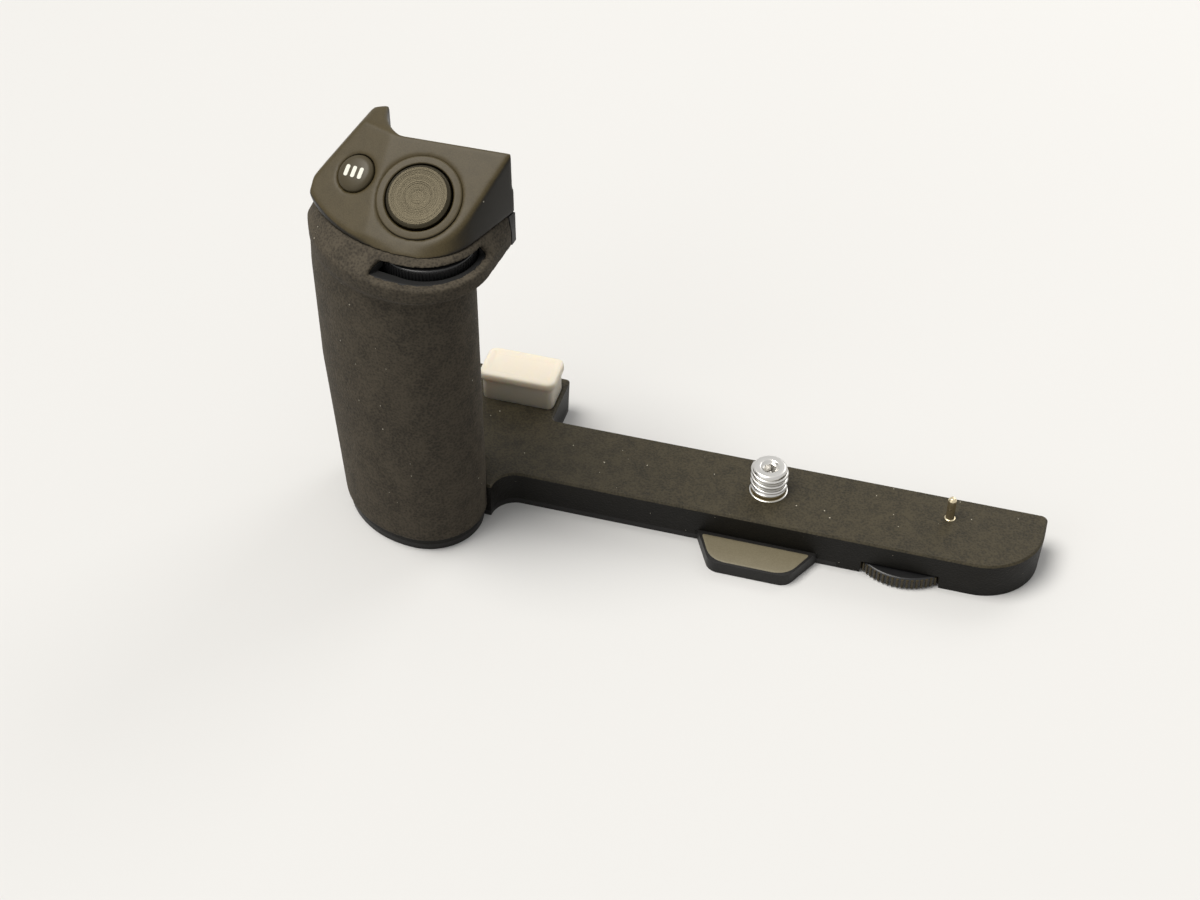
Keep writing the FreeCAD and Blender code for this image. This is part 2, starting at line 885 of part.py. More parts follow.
tab_room_right = tab_right_x - size("side_wall")
bar_room_front = -size("bar_front") + size("side_wall")
bar_room_back = size("bar_back") - size("side_wall")
tab_room = box(
    "tab_room", (base_left_x + size("side_wall") + free, tab_room_right),
    (rear + size("side_wall"), size("tab_back") - size("side_wall")), (cover_top - gap, ceiling))
bar_room = box(
    "bar_room", (column_right + size("neck_round"), size("cover_right") - size("side_wall")),
    (bar_room_front, bar_room_back), (cover_top - gap, ceiling))
tooth_module = Size(1, "1") * (wheel_x * wheel_x + wheel_y * wheel_y).root() / 3.0 / size("gear_teeth")
gear_outer = tooth_module * (size("gear_teeth") / 2.0 + 1.0)
wheel_roof = -size("wheel_top") + free
gear_channel = box(
    "gear_channel", (size("cover_right") - size("side_wall") - free, wheel_x + gear_outer + free),
    (wheel_y - gear_outer - free, gear_outer + free), (wheel_roof - gap, ceiling))
wheel_room = cylinder(
    "wheel_room", wheel_x, wheel_y, (bar_bottom - free, wheel_roof),
    size("wheel_radius") + size("wheel_gap"))
ribbon_x = (nose_x + size("ribbon_shift") - size("ribbon_width"), nose_x + size("ribbon_shift"))
passage_half = size("ribbon_width") / 2.0 + size("passage_margin")
passage_x = (ribbon_x[0] + ribbon_x[1]) / 2.0
ribbon_level = -size("connector_flange_bottom")
passage = box(
    "passage", (passage_x - passage_half, passage_x + passage_half),
    (rear - size("standoff") - free, rear + size("side_wall") + free),
    (ribbon_level - size("passage_margin"), ribbon_level + size("passage_margin") + size("ribbon_thickness")))

connector_right = tab_right_x - size("connector_inset")
connector_back = size("tab_back") - size("connector_back_inset")
connector_x = (connector_right - size("connector_length"), connector_right)
connector_y = (connector_back - size("connector_width"), connector_back)
cap_x = (connector_x[0] - size("cap_side_wall"), connector_x[1] + size("cap_side_wall"))
cap_y = (connector_y[0] - size("cap_front_wall"), connector_y[1] + size("cap_back_wall"))
connector_hole = box(
    "connector_hole", (connector_x[0] - gap, connector_x[1] + gap),
    (connector_y[0] - gap, connector_y[1] + gap), (ceiling - free, 1.0))
cap_seat = new_body("cap_seat")
pad(cap_seat, "cap_seat_recess", rectangle(
    cap_x[0] - slip, cap_x[1] + slip, cap_y[0] - slip, cap_y[1] + slip, size("cap_corner") + slip),
    -size("cap_seat_depth"), as_size(1.0))
screw_hole = cylinder(
    "screw_hole", 0.0, 0.0, (ceiling - free, 1.0), size("screw_collar_radius") + gap)
pin_hole = cylinder(
    "pin_hole", size("pin_x"), size("pin_y"), (-size("pin_root_depth"), 1.0), size("pin_root_radius"))
axle_hole = cylinder(
    "axle_hole", wheel_x, wheel_y, (ceiling - free, -size("rim_chamfer")), size("axle_radius"))


def idler_place(index):
    """Centre of the idler gear of that number, on the line from the screw to the thumbwheel."""
    return wheel_x * index / 3.0, wheel_y * index / 3.0


idler_holes = [
    cylinder(
        f"idler_hole_{index}", *idler_place(index), (ceiling - free, -size("rim_chamfer")),
        size("idler_pin_radius"))
    for index in (1, 2)
]

frame_bosses = [
    cylinder(f"frame_boss_{index}", x, y, (cover_top, ceiling + gap), size("boss_radius"))
    for index, (x, y) in enumerate(COVER_SCREWS)
]
frame_boss_bores = [
    cylinder(
        f"frame_bore_{index}", x, y, (cover_top - gap, cover_top + size("small_screw_length") + free),
        size("small_screw"))
    for index, (x, y) in enumerate(COVER_SCREWS)
]
foot_screw_bores = []
for index, (x, y) in enumerate(FOOT_SCREWS):
    foot_screw_bores.append(cylinder(
        f"foot_bore_{index}", x, y, (cover_top - free, foot_top + gap), size("small_screw") + gap))
    foot_screw_bores.append(cone(
        f"foot_sink_{index}", x, y, (cover_top - gap, cover_top + size("small_head_height")),
        size("small_head") + gap, size("small_screw") + gap))

hollow_frame = cut(
    "hollow_frame", block, cover_zone, ledge_room, tab_room, bar_room, gear_channel, wheel_room)
bossed_frame = fuse("bossed_frame", hollow_frame, *frame_bosses)
part("base_frame", cut(
    "base_frame", bossed_frame, passage, connector_hole, cap_seat, screw_hole, pin_hole, axle_hole,
    *idler_holes, *frame_boss_bores, *foot_screw_bores))

cover_plate = common("cover_plate", block, cover_zone)
cover_with_ledge = fuse("cover_with_ledge", cover_plate, ledge)
bush_hole = cylinder(
    "bush_hole", 0.0, 0.0, (bar_bottom - free, cover_top + free), size("tripod_bush_radius") + gap)
cover_bores = []
for index, (x, y) in enumerate(COVER_SCREWS):
    cover_bores.append(cylinder(
        f"cover_bore_{index}", x, y, (bar_bottom - free, cover_top + free), size("small_screw") + gap))
    cover_bores.append(cone(
        f"cover_sink_{index}", x, y, (bar_bottom, bar_bottom + size("small_head_height")),
        size("small_head") + gap, size("small_screw") + gap))
part("bottom_cover", cut("bottom_cover", cover_with_ledge, bush_hole, *cover_bores))


# Fasteners


def cross_drive(name, x, y, low, high):
    """The cross-shaped recess in a screw's head."""
    half, narrow = size("small_head") * 0.6, size("drive_width") / 2.0
    along = box(f"{name}_along", (x - half, x + half), (y - narrow, y + narrow), (low, high))
    across = box(f"{name}_across", (x - narrow, x + narrow), (y - half, y + half), (low, high))
    return fuse(f"{name}_cross", along, across)


def countersunk_screw(name, x, y, face):
    """A screw driven upwards whose flat head lies level with the face."""
    x, y = as_size(x), as_size(y)
    neck = face + size("small_head_height")
    head = cone(f"{name}_head", x, y, (face, neck), size("small_head"), size("small_screw"))
    shank = cylinder(f"{name}_shank", x, y, (neck, face + size("small_screw_length")), size("small_screw"))
    whole = fuse(f"{name}_whole", head, shank)
    drive = cross_drive(name, x, y, face - gap, face + size("drive_depth"))
    return cut(name, whole, drive)


def lying_screw(name, x, z, face, length):
    """A screw driven towards the front, its head level with a rear face."""
    head_height = size("small_head_height")
    shank = bar_along_y(f"{name}_shank", x, (face - length, face - head_height), z, size("small_screw"))
    head = bar_along_y(f"{name}_head", x, (face - head_height, face), z, size("small_head"))
    return fuse(name, shank, head)


part("cover_screws", group("cover_screws", *[
    countersunk_screw(f"cover_screw_{index}", x, y, bar_bottom)
    for index, (x, y) in enumerate(COVER_SCREWS)]))
part("foot_screws", group("foot_screws", *[
    countersunk_screw(f"foot_screw_{index}", x, y, cover_top)
    for index, (x, y) in enumerate(FOOT_SCREWS)]))


# Tripod socket, alignment pin and fixed gear pins

bush_top = gear_bottom - size("gear_gap")
tripod_end = bar_bottom + size("tripod_depth")
flange_top = cover_top + size("tripod_flange")
part("tripod_bush", turned("tripod_bush", (
    (0.0, tripod_end), (size("tripod_radius"), tripod_end), (size("tripod_radius"), bar_bottom),
    (size("tripod_bush_radius"), bar_bottom), (size("tripod_bush_radius"), cover_top),
    (size("tripod_flange_radius"), cover_top), (size("tripod_flange_radius"), flange_top),
    (size("tripod_bush_radius"), flange_top), (size("tripod_bush_radius"), bush_top), (0.0, bush_top))))

pin_top, pin_tip = size("pin_height"), size("pin_tip")
pin = turned("alignment_pin", (
    (0.0, -size("pin_root_depth")), (size("pin_root_radius"), -size("pin_root_depth")),
    (size("pin_root_radius"), 0.0), (size("pin_radius"), 0.0), (size("pin_radius"), pin_top - pin_tip),
    (size("pin_radius") - pin_tip, pin_top), (0.0, pin_top)))
move(pin, size("pin_x"), size("pin_y"), 0.0)
part("alignment_pin", pin)

idler_pins = []
for index in (1, 2):
    x, y = idler_place(index)
    head_top = gear_bottom - size("gear_gap")
    post = cylinder(
        f"idler_pin_{index}_post", x, y, (head_top - size("pin_head"), -size("rim_chamfer")),
        size("idler_pin_radius"))
    head = cylinder(
        f"idler_pin_{index}_head", x, y, (head_top - size("pin_head"), head_top), size("pin_head_radius"))
    idler_pins.append(fuse(f"idler_pin_{index}", post, head))
part("idler_pins", group("idler_pins", *idler_pins))

wheel_bottom = -size("wheel_bottom")
axle_head_low = wheel_bottom + gap
axle_head_high = axle_head_low + size("axle_head")
wheel_axle = turned("wheel_axle", (
    (0.0, axle_head_low), (size("axle_head_radius"), axle_head_low),
    (size("axle_head_radius"), axle_head_high),
    (size("axle_radius"), axle_head_high), (size("axle_radius"), -size("rim_chamfer")),
    (0.0, -size("rim_chamfer"))))
move(wheel_axle, wheel_x, wheel_y, 0.0)
part("wheel_axle", wheel_axle)


# Gear train: screw gear, two idlers and the thumbwheel's gear


def gear(node, bore, index):
    """A spur gear between the ceiling gap and its thickness. Even places carry a tooth on the line of
    centres and odd places a gap, so that neighbours are in mesh at rest."""
    body = new_body(node)
    teeth = size("gear_teeth")
    root_radius = tooth_module * (teeth / 2.0 - 1.2)
    pitch_radius = tooth_module * teeth / 2.0
    tip_radius = tooth_module * (teeth / 2.0 + 1.0)
    slope = 0.364
    half_pitch_tooth = tooth_module * (math.pi / 4.0) * (1.0 - size("tooth_play"))
    half_root = half_pitch_tooth + tooth_module * (1.2 * slope)
    half_tip = half_pitch_tooth - tooth_module * slope
    sink = root_radius * 0.9
    pad(body, f"{node}_tooth", polygon((
        (sink, -half_root), (root_radius, -half_root), (pitch_radius, -half_pitch_tooth),
        (tip_radius, -half_tip), (tip_radius, half_tip), (pitch_radius, half_pitch_tooth),
        (root_radius, half_root), (sink, half_root))), gear_bottom, gear_top)
    polar(body, f"{node}_teeth", body.Tip, teeth)
    disc = cylinder(f"{node}_disc", 0.0, 0.0, (gear_bottom, gear_top), root_radius)
    toothed = fuse(f"{node}_toothed", body, disc)
    hole = cylinder(f"{node}_bore", 0.0, 0.0, (gear_bottom - gap, gear_top + gap), bore)
    result = cut(f"{node}_gear", toothed, hole)
    line_angle = math.degrees(math.atan2(wheel_y.value, wheel_x.value))
    half_step = 180.0 / teeth.value
    result.Placement = FreeCAD.Placement(
        FreeCAD.Vector(), turn((0, 0, 1), line_angle + half_step * (index % 2)))
    x, y = idler_place(index)
    move(result, x, y, 0.0)
    return part(node, result)


gear("screw_gear", size("gear_bore"), 0)
gear("idler_gear_a", size("idler_pin_radius") + gap, 1)
gear("idler_gear_b", size("idler_pin_radius") + gap, 2)
gear("wheel_gear", size("gear_bore"), 3)


# Camera screw


def camera_screw():
    """The captive screw: threaded above the seat, a collar in the seat's hole and a spigot for its gear."""
    crest, root = size("screw_radius"), size("screw_radius") - size("thread_depth")
    flank = (size("thread_pitch") - size("thread_crest") - size("thread_root")) / 2.0
    profile = [
        (0.0, gear_bottom), (size("gear_bore"), gear_bottom), (size("gear_bore"), gear_top),
        (size("screw_collar_radius"), gear_top), (size("screw_collar_radius"), 0.0),
        (crest, 0.0), (crest, size("screw_shank")),
    ]
    for turn_index in range(int(size("thread_turns").value)):
        base = size("screw_shank") + size("thread_pitch") * turn_index
        profile += [
            (root, base + flank), (root, base + flank + size("thread_root")),
            (crest, base + flank * 2.0 + size("thread_root")), (crest, base + size("thread_pitch")),
        ]
    profile += [(size("screw_tip_radius"), size("screw_height")), (0.0, size("screw_height"))]
    body = turned("camera_screw_blank", profile)
    half_flats = size("socket_flats") / 2.0
    corner = size("socket_flats") / math.sqrt(3.0)
    hexagon = polygon((
        (corner, as_size(0.0)), (corner / 2.0, half_flats), (-corner / 2.0, half_flats),
        (-corner, as_size(0.0)), (-corner / 2.0, -half_flats), (corner / 2.0, -half_flats)))
    pocket(body, "hex_socket", hexagon, size("screw_height") - size("socket_depth"), size("screw_height"))
    return part("camera_screw", body)


camera_screw()


# Thumbwheel


def thumbwheel():
    """The knurled wheel whose rim stands out of the bar, with the hub and spigot for its gear."""
    outer, top = size("wheel_radius"), -size("wheel_top")
    bore = size("axle_radius") + gap
    sink_radius = size("axle_head_radius") + slip
    sink_top = axle_head_high + gap
    blank = turned("wheel_blank", (
        (sink_radius, wheel_bottom), (outer - size("rim_chamfer"), wheel_bottom),
        (outer, wheel_bottom + size("rim_chamfer")), (outer, top - size("rim_chamfer")),
        (outer - size("rim_chamfer"), top), (size("wheel_hub_radius"), top),
        (size("wheel_hub_radius"), gear_bottom - gap), (size("gear_bore"), gear_bottom - gap),
        (size("gear_bore"), gear_top), (bore, gear_top), (bore, sink_top), (sink_radius, sink_top)))
    inner = outer - size("knurl_depth")
    half = size("knurl_depth") * 0.8
    notch = pocket(blank, "knurl_notch", polygon((
        (inner, as_size(0.0)), (outer + free, half * 1.8), (outer + free, -half * 1.8))),
        wheel_bottom - gap, top + gap)
    polar(blank, "knurl", notch, size("wheel_teeth"))
    move(blank, wheel_x, wheel_y, 0.0)
    return part("thumbwheel", blank)


thumbwheel()


# Connector, its board and its cap


def connector():
    """The plug that meets the camera's contacts, held from below by its flange."""
    wide = size("connector_flange")
    tower = box("connector_tower", connector_x, connector_y, (ribbon_level, size("connector_top")))
    flange = box(
        "connector_flange_block", (connector_x[0] - wide, connector_x[1] + wide),
        (connector_y[0] - wide, connector_y[1] + wide), (ribbon_level, ceiling))
    well_floor = size("connector_top") - size("contact_well")
    margin_x, margin_y = size("well_margin_x"), size("well_margin_y")
    well = box(
        "connector_well", (connector_x[0] + margin_x, connector_x[1] - margin_x),
        (connector_y[0] + margin_y, connector_y[1] - margin_y), (well_floor, size("connector_top") + gap))
    part("connector_housing", cut("connector_housing", fuse("connector_solid", tower, flange), well))
    middle_x = (connector_x[0] + connector_x[1]) / 2.0
    middle_y = (connector_y[0] + connector_y[1]) / 2.0
    count = int(size("contact_count").value)
    blades = []
    for index in range(count):
        x = middle_x + size("contact_pitch") * (index - (count - 1) / 2.0)
        blades.append(cylinder(
            f"contact_{index}", x, middle_y, (well_floor, well_floor + size("contact_length")),
            size("contact_radius")))
    part("connector_contacts", group("connector_contacts", *blades))
    part("connector_board", box(
        "connector_board_plate", (connector_x[0] - wide, connector_x[1] + wide),
        (connector_y[0] - wide, connector_y[1] + wide),
        (ribbon_level - size("connector_board"), ribbon_level)))


connector()


def connector_cap():
    """The push-on cap over the connector: a box with a wider rim to pull at, open below."""
    body = new_body("cap_blank")
    flange, corner = size("cap_flange"), size("cap_corner")
    foot = gap - size("cap_seat_depth")
    pad(body, "cap_skirt", rectangle(*cap_x, *cap_y, corner), foot, size("cap_top"))
    pad(body, "cap_rim", rectangle(
        cap_x[0] - flange, cap_x[1] + flange, cap_y[0] - flange, cap_y[1] + flange, corner + flange),
        size("cap_flange_bottom"), size("cap_top"))
    top_edges = [
        f"Edge{index}"
        for index, edge in enumerate(body.Shape.Edges, start=1)
        if edge.BoundBox.ZMin > size("cap_top").value - gap.value
    ]
    dress(body, "PartDesign::Fillet", "cap_soft_top", top_edges, "Radius", flange)
    room = rectangle(
        connector_x[0] - slip, connector_x[1] + slip, connector_y[0] - slip, connector_y[1] + slip)
    pocket(body, "cap_room", room, foot - gap, size("connector_top") + size("cap_room"))
    return part("connector_cap", body)


connector_cap()


# Column: core, skin, rear cover

grip_solid = loft("grip_solid", grip_sections(0.0))
skin_cavity = loft("skin_cavity", grip_sections(skin))
core_solid = loft("core_solid", grip_sections(skin))
core_cavity = loft("core_cavity", grip_sections(core_inset))
rear_slab = box("rear_slab", (-FAR, FAR), (rear_inner, FAR), (-FAR, FAR))
core_base = box("core_base", (-FAR, FAR), (-FAR, FAR), (foot_top - free, foot_top + size("core_floor")))
dial_pocket = cylinder(
    "dial_pocket", dial_x, dial_y, (pocket_bottom, shoulder + gap),
    size("dial_radius") + free)


def slot_sector(name, low, high):
    """A sector about the dial's axle that opens towards the front."""
    sector = doc.addObject("Part::Cylinder", name)
    bind(sector, "Radius", size("slot_reach"))
    bind(sector, "Height", high - low)
    bind(sector, "Angle", size("slot_span"))
    sector.Placement = FreeCAD.Placement(FreeCAD.Vector(), turn((0, 0, 1), size("slot_start").value))
    move(sector, dial_x, dial_y, low)
    return sector


dial_slot = slot_sector("dial_slot", slot_low, shoulder + gap)

lip_bottom = shoulder - size("lip_height")
dial_window = slot_sector("dial_window", slot_low, lip_bottom)
dial_recess = cylinder(
    "dial_recess", dial_x, dial_y, (pocket_bottom, lip_bottom), size("dial_radius") + free)
part("grip_skin", cut("grip_skin", grip_solid, skin_cavity, rear_slab, dial_recess, dial_window))

core_shell = cut("core_shell", core_solid, cut("core_room", core_cavity, core_base))
core_bosses = [
    cylinder(
        f"core_foot_boss_{index}", x, y, (foot_top + gap, foot_top + size("boss_height")),
        size("boss_radius"))
    for index, (x, y) in enumerate(FOOT_SCREWS)
]
core_bores = [
    cylinder(
        f"core_foot_bore_{index}", x, y, (foot_top - gap, foot_top + size("small_screw_length")),
        size("small_screw"))
    for index, (x, y) in enumerate(FOOT_SCREWS)
]
for index, (x, z) in enumerate(REAR_SCREWS):
    core_bosses.append(bar_along_y(
        f"core_rear_boss_{index}", x, (rear_inner - size("boss_height"), rear_inner - gap), z,
        size("boss_radius")))
    core_bores.append(bar_along_y(
        f"core_rear_bore_{index}", x, (rear_inner - size("small_screw_length"), rear_inner + gap), z,
        size("small_screw")))
for index, (x, y) in enumerate(BRACKET_SCREWS):
    core_bosses.append(cylinder(
        f"core_top_boss_{index}", x, y, (bracket_bottom - size("boss_height"), bracket_bottom - gap),
        size("boss_radius")))
    core_bores.append(cylinder(
        f"core_top_bore_{index}", x, y, (bracket_bottom - size("small_screw_length"), bracket_bottom + gap),
        size("small_screw")))
core_with_bosses = fuse("core_with_bosses", core_shell, *core_bosses)
core_trimmed = common("core_trimmed", core_with_bosses, core_solid)
core_passage = box(
    "core_passage", (passage_x - passage_half, passage_x + passage_half),
    (rear - size("standoff") - size("rear_thickness") - size("main_board_thickness") - free, rear + free),
    (foot_top + free, size("ribbon_top") + free))
part("grip_core", cut(
    "grip_core", core_trimmed, rear_slab, dial_pocket, dial_slot, core_passage, *core_bores))

rear_zone = box("rear_zone", (-FAR, FAR), (rear_inner, rear), (foot_top, shoulder))
rear_plate = common("rear_plate", grip_solid, rear_zone)
board_posts = [
    bar_along_y(
        f"board_post_{index}", x, (rear_inner - size("standoff"), rear_inner + gap), z,
        size("standoff_radius"))
    for index, (x, z) in enumerate(BOARD_POSTS)
]
rear_bores = []
for index, (x, z) in enumerate(REAR_SCREWS):
    rear_bores.append(bar_along_y(
        f"rear_bore_{index}", x, (rear_inner - gap, rear + gap), z, size("small_screw") + gap))
    rear_bores.append(bar_along_y(
        f"rear_sink_{index}", x, (rear - size("small_head_height"), rear + gap), z, size("small_head") + gap))
part("rear_cover", cut(
    "rear_cover", fuse("rear_with_posts", rear_plate, *board_posts), dial_pocket, passage, *rear_bores))
part("rear_cover_screws", group("rear_cover_screws", *[
    lying_screw(f"rear_screw_{index}", as_size(x), as_size(z), rear, size("small_screw_length"))
    for index, (x, z) in enumerate(REAR_SCREWS)]))
part("rear_pad", box(
    "rear_pad_sheet", (left_x + size("pad_left_inset"), nose_x + size("pad_right_shift")),
    (rear, rear + size("pad_thickness")), (size("pad_bottom"), waist - size("pad_drop"))))


# Boards and ribbon inside the column

board_back = rear_inner - size("standoff")
board_front = board_back - size("main_board_thickness")
main_board_x = (left_x + size("main_board_left_inset"), nose_x + size("main_board_right_shift"))
main_board_top = bracket_bottom - size("main_board_headroom")
board_plate = box(
    "main_board_plate", main_board_x, (board_front, board_back), (size("main_board_bottom"), main_board_top))
board_middle = (main_board_x[0] + main_board_x[1]) / 2.0
half_chip = size("chip_side") / 2.0
chip_middle = (size("main_board_bottom") + main_board_top) / 2.0
chip = box(
    "main_board_chip", (board_middle - half_chip, board_middle + half_chip),
    (board_front - size("chip_height"), board_front),
    (chip_middle - half_chip, chip_middle + half_chip))
part("main_board", fuse("main_board", board_plate, chip))

ribbon_front = board_front - size("ribbon_thickness")
ribbon_upright = box(
    "ribbon_upright", ribbon_x, (ribbon_front, board_front), (ribbon_level, size("ribbon_top")))
ribbon_end = connector_y[0] + size("ribbon_branch")
ribbon_lying = box(
    "ribbon_lying", ribbon_x, (ribbon_front, ribbon_end),
    (ribbon_level, ribbon_level + size("ribbon_thickness")))
ribbon_tail = box(
    "ribbon_tail", (ribbon_x[1], connector_x[0] - size("connector_flange")), (connector_y[0], ribbon_end),
    (ribbon_level, ribbon_level + size("ribbon_thickness")))
part("ribbon_cable", fuse("ribbon_cable", ribbon_upright, ribbon_lying, ribbon_tail))


# Dial, its bracket, axle, encoder and screws

bracket_top = bracket_bottom + size("bracket_thickness")
bracket_back = rear_inner - gap
bracket_left_x = left_x + size("bracket_left_inset")
bracket_plate = box(
    "bracket_plate", (bracket_left_x, nose_x + size("bracket_right_shift")),
    (-size("bracket_front"), bracket_back), (bracket_bottom, bracket_top))
left_wing = box(
    "bracket_side", (BRACKET_SCREWS[0][0] - size("boss_radius") / 2.0, bracket_left_x + gap),
    (BRACKET_SCREWS[0][1] - size("boss_radius"), BRACKET_SCREWS[0][1] + size("boss_radius")),
    (bracket_bottom, bracket_top))
ear_front = bracket_back - size("ear_thickness")
ear_top = shoulder + size("ear_rise")
left_ear = box(
    "left_ear", (ear_screws[0] - size("ear_half_width"), ear_screws[0] + size("ear_half_width")),
    (ear_front, bracket_back), (bracket_bottom, ear_top))
right_ear_x = nose_x + size("right_ear_reach")
right_strut = box(
    "right_strut", (right_ear_x, right_ear_x + size("right_strut_width")), (ear_front, bracket_back),
    (bracket_bottom + free, ear_top))
right_ear = box(
    "right_ear", (right_ear_x, right_ear_x + size("right_ear_width")), (ear_front, bracket_back),
    (shoulder + gap, ear_top))
bracket_bores = [
    cylinder(
        f"bracket_bore_{index}", x, y, (bracket_bottom - gap, bracket_top + gap), size("small_screw") + gap)
    for index, (x, y) in enumerate(BRACKET_SCREWS)
]
bracket_bores += [
    bar_along_y(
        f"ear_bore_{index}", x, (ear_front - gap, bracket_back + gap), ear_screw_z,
        size("small_screw"))
    for index, x in enumerate(ear_screws)
]
bracket_bores.append(cylinder(
    "bracket_axle_bore", dial_x, dial_y, (bracket_bottom - gap, bracket_top + gap), size("dial_axle_radius")))
part("dial_bracket", cut(
    "dial_bracket", fuse("bracket_solid", bracket_plate, left_wing, left_ear, right_strut, right_ear),
    *bracket_bores))

bracket_screws = []
for index, (x, y) in enumerate(BRACKET_SCREWS):
    shank = cylinder(
        f"bracket_screw_{index}_shank", x, y,
        (bracket_top - size("small_screw_length"), bracket_top), size("small_screw"))
    head = cylinder(
        f"bracket_screw_{index}_head", x, y, (bracket_top, bracket_top + size("pin_head")),
        size("small_head"))
    bracket_screws.append(fuse(f"bracket_screw_{index}", shank, head))
part("bracket_screws", group("bracket_screws", *bracket_screws))

axle_head_low = dial_top + size("gear_gap")
dial_axle = turned("dial_axle", (
    (0.0, bracket_bottom), (size("dial_axle_radius"), bracket_bottom),
    (size("dial_axle_radius"), axle_head_low), (size("dial_axle_head"), axle_head_low),
    (size("dial_axle_head"), axle_head_low + size("dial_axle_cap")),
    (0.0, axle_head_low + size("dial_axle_cap"))))
move(dial_axle, dial_x, dial_y, 0.0)
part("dial_axle", dial_axle)

encoder = turned("dial_encoder", (
    (size("encoder_inner"), bracket_top), (size("encoder_outer"), bracket_top),
    (size("encoder_outer"), bracket_top + size("encoder_height")),
    (size("encoder_inner"), bracket_top + size("encoder_height"))))
move(encoder, dial_x, dial_y, 0.0)
part("dial_encoder", encoder)


def control_dial():
    """The front dial, notched round its rim and turning on its axle."""
    outer, bore = size("dial_radius"), size("dial_axle_radius") + gap
    low, high, chamfer = dial_bottom, dial_top, size("rim_chamfer")
    blank = turned("dial_blank", (
        (bore, low), (outer - chamfer, low), (outer, low + chamfer), (outer, high - chamfer),
        (outer - chamfer, high), (bore, high)))
    inner = outer - size("notch_depth")
    half = size("notch_depth")
    notch = pocket(blank, "dial_notch", polygon((
        (inner, as_size(0.0)), (outer + free, half * 2.0), (outer + free, -half * 2.0))),
        low - gap, high + gap)
    polar(blank, "dial_notching", notch, size("dial_notches"))
    move(blank, dial_x, dial_y, 0.0)
    return part("control_dial", blank)


control_dial()


# Head cover with its wing


def deck_outline(inset):
    """The sloping face's outline in its own plane, y running up the slope from the back edge."""
    return grip_outline(
        nose_x + size("deck_nose_shift"), size("deck_length"), size("deck_round"), -size("deck_side_angle"),
        deck_left_x, size("deck_corner"), -as_size(inset), inset)


def facets(name, depth):
    """Tools that take off what lies above the rolled part and outside the side facet."""
    rolled = box(f"{name}_roll_tool", (-FAR, 0.0), (-FAR, FAR), (0.0, FAR))
    rolled.Placement = roll * FreeCAD.Placement(vector(-FAR, -FAR, -as_size(depth)), FreeCAD.Rotation())
    side = box(f"{name}_side_tool", (-FAR, FAR), (-FAR, FAR), (0.0, FAR))
    side.Placement = side_facet * FreeCAD.Placement(vector(-FAR, -FAR, -as_size(depth)), FreeCAD.Rotation())
    for tool in (rolled, side):
        for axis in "xyz":
            tool.setExpression(f"Placement.Base.{axis}", None)
    return rolled, side


def wing():
    """The horn at the back left that wraps the end of the camera."""
    body = new_body("wing_blank")
    left, root = deck_left_x, deck_left_x + size("wing_root_inset")
    pad(body, "wing_prism", polygon((
        (left, rear - free), (left, rear), (left + size("wing_side_inset"), size("wing_side_back")),
        (left + size("wing_tip_inset"), size("wing_back")), (root, size("wing_back")), (root, rear - free))),
        wing_bottom, deck_height)
    camera_end = cylinder(
        "camera_end", left + size("camera_corner_inset"), size("camera_corner_y"),
        (wing_bottom - free, deck_height + free), size("camera_corner_radius"))
    under = box("wing_under", (-FAR, FAR), (-FAR, FAR), (-FAR, 0.0))
    under.setExpression("Placement.Base.x", None)
    under.setExpression("Placement.Base.y", None)
    under.setExpression("Placement.Base.z", None)
    under.Placement = wing_rise * FreeCAD.Placement(vector(-FAR, -FAR, -FAR), FreeCAD.Rotation())
    behind = box("wing_behind", (-FAR, FAR), (rear, FAR), (-FAR, FAR))
    clipped = common("wing_clipped", body, behind)
    return cut("wing", clipped, camera_end, under)


